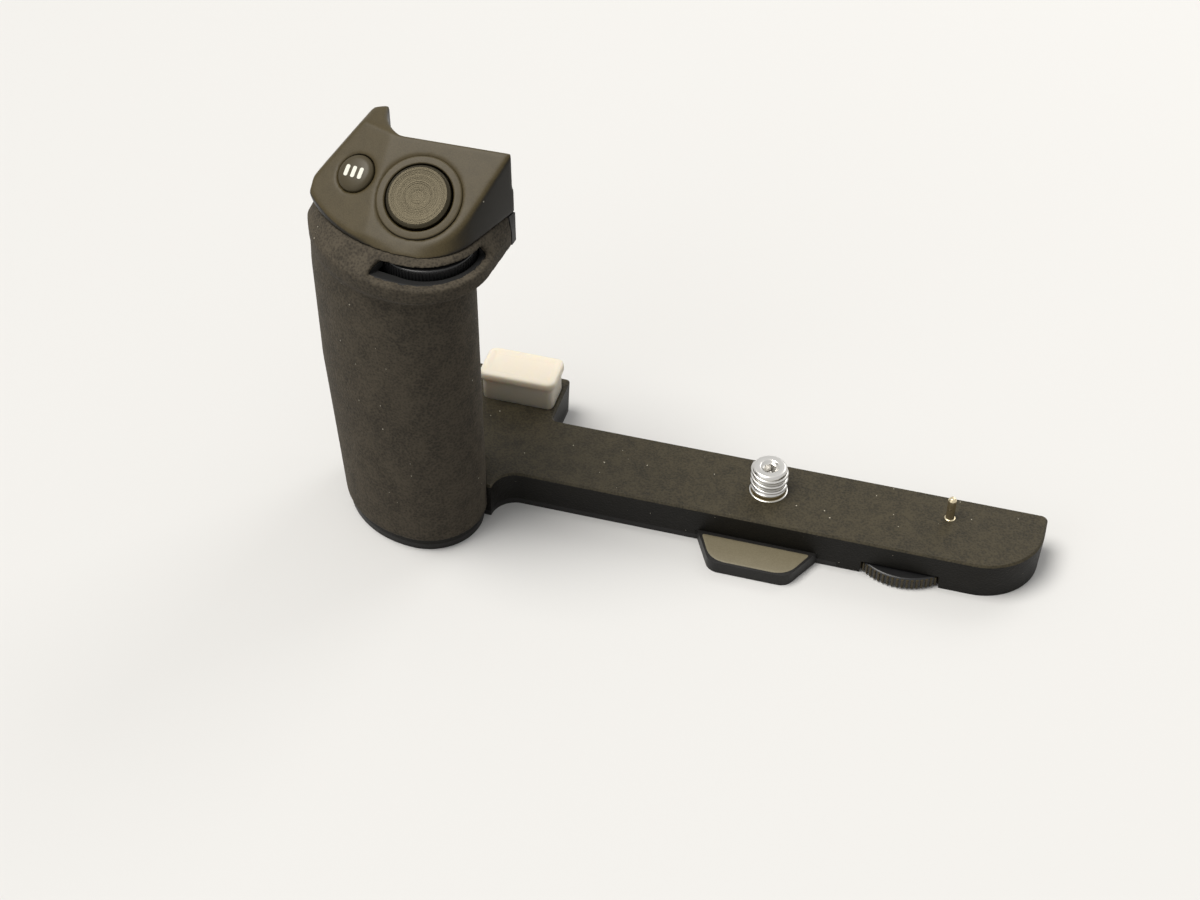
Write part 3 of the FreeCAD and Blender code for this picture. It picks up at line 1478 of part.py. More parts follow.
def head_cover():
    """The hard top: a shell with the sloping deck, the rolled left part, the wing and its posts."""
    wall = size("head_wall")
    outer_loft = loft("head_outer", [
        (shoulder, shoulder_outline(0.0, rear)), (deck, deck_outline(0.0))])
    inner_deck = deck * FreeCAD.Placement(vector(0, 0, -wall), FreeCAD.Rotation())
    inner_loft = loft("head_inner", [
        (shoulder - free, shoulder_outline(wall, rear - wall)), (inner_deck, deck_outline(wall))])
    outer = cut("head_faceted", fuse("head_with_wing", outer_loft, wing()), *facets("head", 0.0))
    inner = cut("head_room", inner_loft, *facets("room", wall))
    shell = cut("head_shell", outer, inner)
    reach = size("shutter_skirt") + size("stem_length") + size("shutter_travel") + size("switch_height") + gap
    posts = []
    for side in (-1, 1):
        post = cylinder(
            f"head_post_{side + 1}", size("post_across") * side, -size("post_down"),
            (-reach, -wall / 2.0), size("post_radius"))
        posts.append(post)
    main_posts = place(group("head_posts", *posts), shutter_frame)
    function_reach = (
        size("function_skirt") + size("stem_length") + size("function_travel")
        + size("function_switch_height") + gap)
    post_span = (-function_reach, -wall / 2.0)
    post_radius = size("function_post_radius")
    function_posts = place(group(
        "function_posts",
        cylinder("function_post_low", 0.0, -size("function_post"), post_span, post_radius),
        cylinder("function_post_left", -size("function_post"), 0.0, post_span, post_radius)),
        function_frame)
    bezel_hole = fuse(
        "bezel_hole",
        cylinder("bezel_bore", 0.0, 0.0, (-wall * 3.0, wall), size("bezel_outer")),
        cylinder("bezel_recess", 0.0, 0.0, (-size("bezel_seat"), wall), size("bezel_rim")))
    place(bezel_hole, shutter_frame)
    function_hole = group("function_hole", cylinder(
        "function_bore", 0.0, 0.0, (-wall * 3.0, wall * 2.0), size("function_radius") + gap))
    place(function_hole, function_frame)
    head_bores = []
    for index, x in enumerate(ear_screws):
        head_bores.append(bar_along_y(
            f"head_bore_{index}", x, (rear - wall - free, rear + gap), ear_screw_z,
            size("small_screw") + gap))
        head_bores.append(bar_along_y(
            f"head_sink_{index}", x, (rear - size("small_head_height"), rear + size("boss_height")),
            ear_screw_z, size("small_head") + gap))
    solid = fuse("head_solid", shell, main_posts, function_posts)
    return part("head_cover", cut("head_cover", solid, bezel_hole, function_hole, *head_bores))


head_cover()
part("head_screws", group("head_screws", *[
    lying_screw(f"head_screw_{index}", x, ear_screw_z, rear, size("head_screw_length"))
    for index, x in enumerate(ear_screws)]))


# Shutter button and its bezel, switch and board

bezel = turned("shutter_bezel", (
    (size("shutter_radius") + gap, -size("bezel_tail")), (size("bezel_outer"), -size("bezel_tail")),
    (size("bezel_outer"), -size("bezel_seat")), (size("bezel_rim"), -size("bezel_seat")),
    (size("bezel_rim"), size("bezel_proud") / 2.0),
    (size("bezel_rim") - size("bezel_proud") / 2.0, size("bezel_proud")),
    (size("shutter_radius") + gap, size("bezel_proud"))))
part("shutter_bezel", place(bezel, shutter_frame))

skirt_low = -size("shutter_skirt")
skirt_high = skirt_low + size("shutter_flange")
stem_low = skirt_low - size("stem_length")
button_edge = size("rim_chamfer")
shutter = turned("shutter_button", (
    (0.0, stem_low), (size("stem_radius"), stem_low), (size("stem_radius"), skirt_low),
    (size("shutter_flange_radius"), skirt_low), (size("shutter_flange_radius"), skirt_high),
    (size("shutter_radius"), skirt_high), (size("shutter_radius"), size("shutter_proud") - button_edge),
    (size("shutter_radius") - button_edge, size("shutter_proud")), (0.0, size("shutter_proud"))))
part("shutter_button", place(shutter, shutter_frame))

switch_top = stem_low - size("shutter_travel") - gap
switch_bottom = switch_top - size("switch_height")
half_switch = size("switch_side") / 2.0
switch = group("shutter_switch", box(
    "shutter_switch_block", (-half_switch, half_switch), (-half_switch, half_switch),
    (switch_bottom, switch_top)))
part("shutter_switch", place(switch, shutter_frame))
button_board = group("button_board", box(
    "button_board_plate", (-size("board_half_length"), size("board_half_length")),
    (-size("board_down"), size("board_up")), (switch_bottom - size("board_thickness"), switch_bottom)))
part("button_board", place(button_board, shutter_frame))


# Function button, its switch and board

function_low = -size("function_skirt")
function_high = function_low + size("function_flange")
function_stem = function_low - size("stem_length")
function = turned("function_button", (
    (0.0, function_stem), (size("stem_radius"), function_stem), (size("stem_radius"), function_low),
    (size("function_flange_radius"), function_low), (size("function_flange_radius"), function_high),
    (size("function_radius"), function_high), (size("function_radius"), size("function_proud") - button_edge),
    (size("function_radius") - button_edge, size("function_proud")), (0.0, size("function_proud"))))
part("function_button", place(function, function_frame))

function_switch_top = function_stem - size("function_travel") - gap
function_switch_bottom = function_switch_top - size("function_switch_height")
half_function = size("function_switch_side") / 2.0
function_switch = group("function_switch", box(
    "function_switch_block", (-half_function, size("function_board_right")), (-half_function, half_function),
    (function_switch_bottom, function_switch_top)))
part("function_switch", place(function_switch, function_frame))
board_reach = size("function_post") + size("function_post_radius")
function_board_span = (function_switch_bottom - size("board_thickness"), function_switch_bottom)
function_board = fuse(
    "function_board",
    box(
        "function_board_plate", (-half_function, size("function_board_right")),
        (-board_reach, size("function_board_up")), function_board_span),
    box(
        "function_board_arm", (-board_reach, -half_function + gap),
        (-size("function_arm"), size("function_arm_up")), function_board_span))
part("function_board", place(function_board, function_frame))


# Check and write


def check_document():
    """Stop on any object that failed and on any sub-part without a sound shape."""
    doc.recompute()
    for item in doc.Objects:
        if "Invalid" in item.State or "Error" in item.State:
            raise ValueError(f"{item.Name} failed: {item.State}")
    for node, thing in PARTS.items():
        if thing.Shape.isNull() or not thing.Shape.isValid() or not thing.Shape.Solids:
            raise ValueError(f"{node} has no sound shape")


def write_parts():
    """Write each sub-part to its own file."""
    os.makedirs("parts", exist_ok=True)
    for node, thing in PARTS.items():
        thing.Shape.exportStep(f"parts/{node}.step")
        bounds = thing.Shape.BoundBox
        print(
            f"{node}: {len(thing.Shape.Solids)} solid(s), {thing.Shape.Volume:.1f} mm3, "
            f"x {bounds.XMin:.2f}..{bounds.XMax:.2f}, y {bounds.YMin:.2f}..{bounds.YMax:.2f}, "
            f"z {bounds.ZMin:.2f}..{bounds.ZMax:.2f}")


check_document()
write_parts()
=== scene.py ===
"""Visual model of a camera hand grip: gripping column, control head, base bar and drive parts.

Sizes are written in millimetres and turned into metres where a mesh is made.
"""

import json
import logging
import math
from dataclasses import dataclass, field
from enum import Enum

import bmesh
import bpy
from mathutils import Matrix, Vector

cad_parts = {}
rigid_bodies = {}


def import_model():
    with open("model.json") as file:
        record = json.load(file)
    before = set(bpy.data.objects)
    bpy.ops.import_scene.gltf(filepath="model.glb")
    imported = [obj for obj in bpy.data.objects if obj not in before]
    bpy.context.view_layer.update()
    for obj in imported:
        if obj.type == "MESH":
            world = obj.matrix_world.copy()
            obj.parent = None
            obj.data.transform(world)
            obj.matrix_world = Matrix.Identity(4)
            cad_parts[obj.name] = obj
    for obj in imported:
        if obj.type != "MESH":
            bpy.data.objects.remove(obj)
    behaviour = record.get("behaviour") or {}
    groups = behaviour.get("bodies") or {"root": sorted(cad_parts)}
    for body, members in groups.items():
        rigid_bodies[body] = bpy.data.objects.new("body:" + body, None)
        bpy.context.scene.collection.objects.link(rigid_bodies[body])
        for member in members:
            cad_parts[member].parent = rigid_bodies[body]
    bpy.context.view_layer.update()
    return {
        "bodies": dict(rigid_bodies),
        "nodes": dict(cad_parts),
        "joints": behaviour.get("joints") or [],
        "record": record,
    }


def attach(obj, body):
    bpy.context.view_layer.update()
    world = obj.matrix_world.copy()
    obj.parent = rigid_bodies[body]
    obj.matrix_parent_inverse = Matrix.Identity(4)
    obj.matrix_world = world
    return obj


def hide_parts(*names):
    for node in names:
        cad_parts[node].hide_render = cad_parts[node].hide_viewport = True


LOG = logging.getLogger("camera_hand_grip")
MM = 0.001
Point = tuple[float, float, float]
Profile = list[tuple[float, float]]
Colour = tuple[float, float, float]


class Body(Enum):
    """The rigid bodies that pieces ride on."""

    GRIP = "grip"
    SCREW = "camera_screw"
    IDLER_A = "idler_a"
    IDLER_B = "idler_b"
    WHEEL = "thumbwheel"
    DIAL = "dial"
    SHUTTER = "shutter"
    FUNCTION = "function"
    CAP = "cap"


class Pattern(Enum):
    """The surface pattern of a finish."""

    SMOOTH = "smooth"
    GRAIN = "grain"
    SPUN = "spun"
    BRUSHED = "brushed"


# Node trees


class Nodes:
    """Short ways to add, fill and link the nodes of a tree."""

    def __init__(self, tree: bpy.types.NodeTree) -> None:
        """Hold the tree that nodes are added to."""
        self.tree = tree

    def node(self, kind: str, settings: dict | None = None,
             inputs: dict[int | str, object] | None = None) -> bpy.types.Node:
        """Add a node.

        Args:
            kind: the node's type name.
            settings: plain properties of the node.
            inputs: socket index or name to a value or an output socket.

        Returns:
            The node.
        """
        made = self.tree.nodes.new(kind)
        for key, value in (settings or {}).items():
            setattr(made, key, value)
        self.fill(made, inputs or {})
        return made

    def fill(self, node: bpy.types.Node, inputs: dict[int | str, object]) -> None:
        """Link output sockets to a node's inputs, or set the inputs' values."""
        for key, value in inputs.items():
            if isinstance(value, bpy.types.NodeSocket):
                self.tree.links.new(value, node.inputs[key])
            else:
                node.inputs[key].default_value = value

    def math(self, operation: str, first: object, second: object = 0.0) -> bpy.types.NodeSocket:
        """Add a Math node and give its result."""
        made = self.node("ShaderNodeMath", {"operation": operation}, {0: first, 1: second})
        return made.outputs[0]

    def mix(self, share: object, first: object, second: object,
            blend: str = "MIX") -> bpy.types.NodeSocket:
        """Mix two colours.

        Args:
            share: how much of the second colour.
            first: a colour or a colour socket.
            second: a colour or a colour socket.
            blend: how the second colour goes over the first.

        Returns:
            The mixed colour's socket.
        """
        colours = [
            value if isinstance(value, bpy.types.NodeSocket) else (*value, 1.0)
            for value in (first, second)
        ]
        made = self.node("ShaderNodeMix", {"data_type": "RGBA", "blend_type": blend},
                         {"Factor": share, 6: colours[0], 7: colours[1]})
        return made.outputs[2]


class ShaderGroup(Nodes):
    """A shader node group under construction, with named inputs and outputs."""

    def __init__(self, name: str, inputs: dict[str, float], outputs: list[str]) -> None:
        """Make the group's sockets.

        Args:
            name: the group's name.
            inputs: each value input and its default, besides the place that every group reads.
            outputs: names of the value outputs.
        """
        super().__init__(bpy.data.node_groups.new(name, "ShaderNodeTree"))
        face = self.tree.interface
        face.new_socket("Place", in_out="INPUT", socket_type="NodeSocketVector")
        for label, value in inputs.items():
            socket = face.new_socket(label, in_out="INPUT", socket_type="NodeSocketFloat")
            socket.default_value = value
        for label in outputs:
            face.new_socket(label, in_out="OUTPUT", socket_type="NodeSocketFloat")
        self.given = self.tree.nodes.new("NodeGroupInput").outputs
        self.sink = self.tree.nodes.new("NodeGroupOutput")

    def noise(self, cells: object, detail: float) -> bpy.types.NodeSocket:
        """Add a cloud of noise about the group's place and give its value."""
        made = self.node("ShaderNodeTexNoise", None, {
            "Vector": self.given["Place"], "Scale": cells, "Detail": detail})
        return made.outputs[0]

    def finish(self, outputs: dict[str, bpy.types.NodeSocket]) -> bpy.types.NodeTree:
        """Link the outputs and give the tree."""
        self.fill(self.sink, outputs)
        return self.tree


class ShaderGroups:
    """The shader groups that several finishes share, each built once."""

    def __init__(self) -> None:
        """Build every group."""
        self.grain = self._grain()
        self.dust = self._dust()
        self.handling = self._handling()
        self.spun = self._spun()

    @staticmethod
    def _grain() -> bpy.types.NodeTree:
        """Pebbled grain of moulded rubber and textured plastic."""
        fine_cells, broad_cells = 1.9, 0.13
        pebble_share, fine_share = 0.9, 0.55
        darkest, palest = 0.4, 0.72
        group = ShaderGroup("moulded_grain", {"Cells": 2500.0}, ["Height", "Tone"])
        cells = group.given["Cells"]
        pebble = group.node("ShaderNodeTexVoronoi", {"feature": "SMOOTH_F1"}, {
            "Vector": group.given["Place"], "Scale": cells, "Smoothness": 0.6})
        fine = group.noise(group.math("MULTIPLY", cells, fine_cells), 4.0)
        broad = group.noise(group.math("MULTIPLY", cells, broad_cells), 3.0)
        height = group.math("ADD", group.math("MULTIPLY", pebble.outputs["Distance"], pebble_share),
                            group.math("MULTIPLY", fine, fine_share))
        tone = group.math("MULTIPLY", group.math("ADD", height, broad), 0.5)
        stretched = group.node("ShaderNodeMapRange", None, {
            "Value": tone, "From Min": darkest, "From Max": palest})
        return group.finish({"Height": height, "Tone": stretched.outputs[0]})

    @staticmethod
    def _dust() -> bpy.types.NodeTree:
        """Sparse pale specks of dust with uneven edges."""
        edge_cells, edge_depth, least_size = 2.5, 0.06, 0.03
        group = ShaderGroup("dust_specks", {"Cells": 400.0, "Share": 0.05, "Size": 0.12}, ["Mask"])
        cells = group.given["Cells"]
        bent = group.noise(group.math("MULTIPLY", cells, edge_cells), 2.0)
        speck = group.node("ShaderNodeTexVoronoi", None, {
            "Vector": group.given["Place"], "Scale": cells})
        chance = group.node("ShaderNodeSeparateColor", None, {"Color": speck.outputs["Color"]})
        near = group.math("ADD", speck.outputs["Distance"], group.math("MULTIPLY", bent, edge_depth))
        size = group.math("MULTIPLY", group.given["Size"], chance.outputs[1])
        inside = group.math("LESS_THAN", near, group.math("ADD", size, least_size))
        picked = group.math("LESS_THAN", chance.outputs[0], group.given["Share"])
        return group.finish({"Mask": group.math("MULTIPLY", inside, picked)})

    @staticmethod
    def _handling() -> bpy.types.NodeTree:
        """Slow changes of tone and gloss left by use."""
        group = ShaderGroup("handling_marks", {"Cells": 60.0, "Base": 0.4, "Spread": 0.1},
                            ["Roughness", "Tone"])
        cloud = group.noise(group.given["Cells"], 5.0)
        swing = group.math("MULTIPLY", group.math("SUBTRACT", cloud, 0.5), group.given["Spread"])
        return group.finish({
            "Roughness": group.math("ADD", group.given["Base"], swing), "Tone": cloud})

    @staticmethod
    def _spun() -> bpy.types.NodeTree:
        """Fine rings left by turning, round the local Z axis."""
        group = ShaderGroup("turned_rings", {"Rings": 9000.0}, ["Height"])
        parts = group.node("ShaderNodeSeparateXYZ", None, {"Vector": group.given["Place"]})
        square = group.math("ADD", group.math("MULTIPLY", parts.outputs[0], parts.outputs[0]),
                            group.math("MULTIPLY", parts.outputs[1], parts.outputs[1]))
        radius = group.math("MULTIPLY", group.math("SQRT", square), group.given["Rings"])
        ring = group.node("ShaderNodeTexNoise", {"noise_dimensions": "1D"}, {
            "W": radius, "Scale": 1.0, "Detail": 3.0})
        return group.finish({"Height": ring.outputs[0]})


# Finishes


DUST: Colour = (0.5, 0.46, 0.37)
SPECK_SIZE = 0.1
HANDLING_CELL = 14.0
GRAIN_SHARE = 0.6
BRUSH_STRETCH = (1.0, 1.0, 30.0)
SKIN_DEPTH = (1.0, 0.8, 0.5)
SKIN_SCALE = 0.0016
# Normal heights over which the painted side shade fades: upright faces get all of the painted shade, lying
# faces none.
UPRIGHT, LYING = 0.1, 0.55


@dataclass(frozen=True)
class Finish:
    """One material of the object, built from its numbers.

    Sizes of the pattern are in millimetres.
    """

    name: str
    slot: str
    colour: Colour
    second: Colour
    roughness: float = 0.45
    spread: float = 0.12
    metallic: float = 0.0
    specular: float = 0.5
    pattern: Pattern = Pattern.SMOOTH
    cell: float = 0.4
    relief: float = 0.03
    strength: float = 0.5
    dust: float = 0.0
    dust_cell: float = 2.2
    subsurface: float = 0.0
    anisotropy: float = 0.0
    # Share of its colour that an upright face keeps, as painted shade for less light on the sides; 1 paints
    # no shade.
    painted_shade_share: float = 1.0
    centre: Point = (0.0, 0.0, 0.0)
    turn: Point = (0.0, 0.0, 0.0)

    def build(self, groups: ShaderGroups) -> bpy.types.Material:
        """Make the material.

        Args:
            groups: the shared shader groups.

        Returns:
            The finished material.
        """
        material = bpy.data.materials.new(self.name)
        material.use_nodes = True
        material.diffuse_color = (*self.colour, 1.0)
        nodes = Nodes(material.node_tree)
        shader = nodes.tree.nodes["Principled BSDF"]
        place = self._place(nodes)
        handling = self._use(nodes, groups.handling, place, {
            "Cells": 1.0 / (HANDLING_CELL * MM), "Base": self.roughness, "Spread": self.spread})
        cells = 1.0 / (self.cell * MM)
        if self.pattern is Pattern.SPUN:
            surface = self._use(nodes, groups.spun, place, {"Rings": cells})
        else:
            surface = self._use(nodes, groups.grain, place, {"Cells": cells})
        tone = handling.outputs["Tone"]
        if self.pattern is Pattern.GRAIN:
            tone = nodes.node("ShaderNodeMix", None, {
                0: GRAIN_SHARE, 2: tone, 3: surface.outputs["Tone"]}).outputs[0]
        colour = nodes.mix(tone, self.colour, self.second)
        # Painted shade: faces that stand upright are darkened, standing for the light that falls from
        # above.
        if self.painted_shade_share < 1.0:
            colour = self._painted_side_shade(nodes, colour)
        if self.dust:
            specks = self._use(nodes, groups.dust, place, {
                "Cells": 1.0 / (self.dust_cell * MM), "Share": self.dust, "Size": SPECK_SIZE})
            colour = nodes.mix(specks.outputs["Mask"], colour, DUST)
        bump = nodes.node("ShaderNodeBump", None, {
            "Strength": self.strength, "Distance": self.relief * MM,
            "Height": surface.outputs["Height"]})
        nodes.fill(shader, {
            "Metallic": self.metallic, "Specular IOR Level": self.specular, "Base Color": colour,
            "Roughness": handling.outputs["Roughness"], "Normal": bump.outputs[0]})
        if self.subsurface:
            nodes.fill(shader, {
                "Subsurface Weight": self.subsurface, "Subsurface Radius": SKIN_DEPTH,
                "Subsurface Scale": SKIN_SCALE})
        if self.anisotropy:
            nodes.fill(shader, {
                "Anisotropic": self.anisotropy, "Tangent": self._tangent(nodes, place)})
        return material

    def _place(self, nodes: Nodes) -> bpy.types.NodeSocket:
        """Object coordinates, centred and turned for this finish."""
        source = nodes.node("ShaderNodeTexCoord")
        mapping = nodes.node("ShaderNodeMapping", {"vector_type": "TEXTURE"}, {
            "Location": tuple(v * MM for v in self.centre),
            "Rotation": tuple(math.radians(v) for v in self.turn),
            "Vector": source.outputs["Object"]})
        if self.pattern is Pattern.BRUSHED:
            nodes.fill(mapping, {"Scale": BRUSH_STRETCH})
        return mapping.outputs[0]

    def _painted_side_shade(self, nodes: Nodes, colour: bpy.types.NodeSocket) -> bpy.types.NodeSocket:
        """The colour, painted darker on faces that stand upright: painted shade for the weaker light that
        reaches the sides.
        """
        source = nodes.node("ShaderNodeTexCoord")
        parts = nodes.node("ShaderNodeSeparateXYZ", None, {0: source.outputs["Normal"]})
        share = nodes.node("ShaderNodeMapRange", {"interpolation_type": "SMOOTHSTEP"}, {
            "Value": parts.outputs["Z"], "From Min": UPRIGHT, "From Max": LYING})
        dark = nodes.mix(1.0, colour, (self.painted_shade_share,) * 3, "MULTIPLY")
        return nodes.mix(share.outputs[0], dark, colour)

    def _tangent(self, nodes: Nodes, place: bpy.types.NodeSocket) -> bpy.types.NodeSocket:
        """The direction round this finish's own Z axis, along which it was turned."""
        parts = nodes.node("ShaderNodeSeparateXYZ", None, {0: place})
        round_axis = nodes.node("ShaderNodeCombineXYZ", None, {
            "X": nodes.math("MULTIPLY", parts.outputs["Y"], -1.0), "Y": parts.outputs["X"]})
        turned_back = nodes.node("ShaderNodeVectorRotate", {"rotation_type": "EULER_XYZ"}, {
            "Rotation": tuple(math.radians(v) for v in self.turn),
            "Vector": round_axis.outputs[0]})
        return turned_back.outputs[0]

    @staticmethod
    def _use(nodes: Nodes, group: bpy.types.NodeTree, place: bpy.types.NodeSocket,
             values: dict[str, float]) -> bpy.types.Node:
        """Place a shared group in the material.

        Args:
            nodes: the material's nodes.
            group: the shared group.
            place: coordinates that the group reads.
            values: numbers for the group's other inputs.

        Returns:
            The group node.
        """
        return nodes.node("ShaderNodeGroup", {"node_tree": group}, {"Place": place, **values})


DECK_TILT = 35.0
SHUTTER_PLACE = (-56.55, -13.028, 60.279)
PIN_PLACE = (31.7, 1.8)
FINISHES = (
    Finish("grip_rubber", "grip_rubber", (0.016, 0.0132, 0.0095), (0.1, 0.083, 0.059), 0.8, 0.12,
           pattern=Pattern.GRAIN, cell=0.42, relief=0.12, strength=0.8, dust=0.16, dust_cell=1.5,
           specular=0.25),
    # This finish paints shade on its upright faces, so the top reads lit and the sides dark.
    Finish("bar_plastic", "base_plastic", (0.01, 0.0085, 0.005), (0.062, 0.051, 0.029), 0.52, 0.14,
           pattern=Pattern.GRAIN, cell=0.38, relief=0.08, strength=0.7, dust=0.34, dust_cell=1.3,
           specular=0.22, painted_shade_share=0.1),
    Finish("cover_plastic", "cover_plastic", (0.008, 0.0075, 0.007), (0.018, 0.017, 0.016), 0.48, 0.14,
           pattern=Pattern.GRAIN, cell=0.35, relief=0.03, strength=0.3, specular=0.3),
    Finish("ledge_plastic", "cover_plastic", (0.15, 0.128, 0.078), (0.19, 0.165, 0.105), 0.5, 0.1,
           pattern=Pattern.GRAIN, cell=0.3, relief=0.03, strength=0.3, dust=0.1, dust_cell=1.2),
    # This finish paints shade on its upright faces, so the deck reads lit and the sides dark.
    Finish("head_plastic", "head_plastic", (0.05, 0.038, 0.0165), (0.078, 0.06, 0.028), 0.42, 0.12,
           pattern=Pattern.GRAIN, cell=0.22, relief=0.018, strength=0.3, dust=0.05, dust_cell=1.6,
           specular=0.22, painted_shade_share=0.12),
    Finish("rear_plastic", "core_plastic", (0.008, 0.0075, 0.007), (0.016, 0.015, 0.014), 0.5, 0.12,
           pattern=Pattern.GRAIN, cell=0.3, relief=0.04, strength=0.4, specular=0.3),
    Finish("inner_plastic", "core_plastic", (0.008, 0.008, 0.008), (0.014, 0.014, 0.014), 0.6, 0.1,
           specular=0.25),
    Finish("control_black", "control_black", (0.009, 0.009, 0.0095), (0.015, 0.015, 0.0155), 0.34, 0.12,
           cell=0.25, relief=0.015, strength=0.25, dust=0.05, dust_cell=1.2),
    Finish("key_black", "control_black", (0.05, 0.04, 0.021), (0.075, 0.06, 0.032), 0.38, 0.1,
           cell=0.22, relief=0.012, strength=0.2, specular=0.25),
    Finish("spun_black", "button_metal", (0.034, 0.0275, 0.0145), (0.05, 0.041, 0.0225), 0.3, 0.06,
           metallic=0.7, pattern=Pattern.SPUN, cell=0.16, relief=0.03, strength=0.9, anisotropy=0.9,
           centre=SHUTTER_PLACE, turn=(DECK_TILT, 0.0, 0.0)),
    Finish("white_print", "cap_ivory", (0.76, 0.75, 0.66), (0.86, 0.85, 0.76), 0.5, 0.08, cell=0.2),
    Finish("polished_steel", "steel", (0.6, 0.585, 0.56), (0.74, 0.73, 0.7), 0.3, 0.12, metallic=1.0,
           pattern=Pattern.SPUN, cell=0.16, relief=0.015, strength=0.25),
    Finish("collar_brass", "brass", (0.46, 0.37, 0.19), (0.58, 0.48, 0.27), 0.34, 0.12, metallic=1.0,
           pattern=Pattern.SPUN, cell=0.16, relief=0.015, strength=0.25),
    Finish("pin_metal", "steel", (0.62, 0.52, 0.33), (0.8, 0.71, 0.52), 0.28, 0.12, metallic=1.0,
           pattern=Pattern.SPUN, cell=0.14, relief=0.015, strength=0.25, centre=(*PIN_PLACE, 0.0)),
    Finish("bright_steel", "steel", (0.66, 0.65, 0.63), (0.8, 0.79, 0.77), 0.22, 0.1, metallic=1.0,
           cell=0.2, relief=0.01),
    Finish("black_steel", "dark_steel", (0.035, 0.035, 0.036), (0.07, 0.07, 0.07), 0.38, 0.14, metallic=0.9,
           cell=0.2, relief=0.01),
    Finish("bracket_steel", "bracket_steel", (0.42, 0.42, 0.42), (0.56, 0.56, 0.56), 0.34, 0.1,
           metallic=1.0, pattern=Pattern.BRUSHED, cell=0.3, relief=0.01),
    Finish("gear_resin", "gear_plastic", (0.62, 0.6, 0.55), (0.72, 0.7, 0.65), 0.45, 0.1, subsurface=0.2),
    Finish("cap_ivory", "cap_ivory", (0.86, 0.78, 0.655), (0.89, 0.82, 0.7), 0.42, 0.1, subsurface=0.5,
           cell=0.6, relief=0.006, strength=0.2, specular=0.4),
    Finish("connector_black", "connector_black", (0.014, 0.014, 0.014), (0.024, 0.024, 0.024), 0.5, 0.1),
    Finish("contact_gold", "contact_gold", (0.75, 0.52, 0.18), (0.84, 0.62, 0.26), 0.22, 0.1, metallic=1.0),
    Finish("board_green", "board_green", (0.012, 0.1, 0.04), (0.02, 0.15, 0.06), 0.35, 0.1, cell=0.6),
    Finish("flex_amber", "flex_amber", (0.4, 0.2, 0.03), (0.5, 0.28, 0.06), 0.35, 0.1),
    Finish("switch_black", "switch_black", (0.02, 0.02, 0.02), (0.04, 0.04, 0.04), 0.5, 0.1),
    Finish("pad_rubber", "pad_rubber", (0.01, 0.0095, 0.009), (0.035, 0.033, 0.031), 0.8, 0.1,
           pattern=Pattern.GRAIN, cell=0.5, relief=0.08, strength=0.6, specular=0.3),
)


FLAT_ANGLE = 0.4
CREASE_ANGLE = 32.0
SOFT_CREASE = 50.0
JOIN_DISTANCE = 1e-6


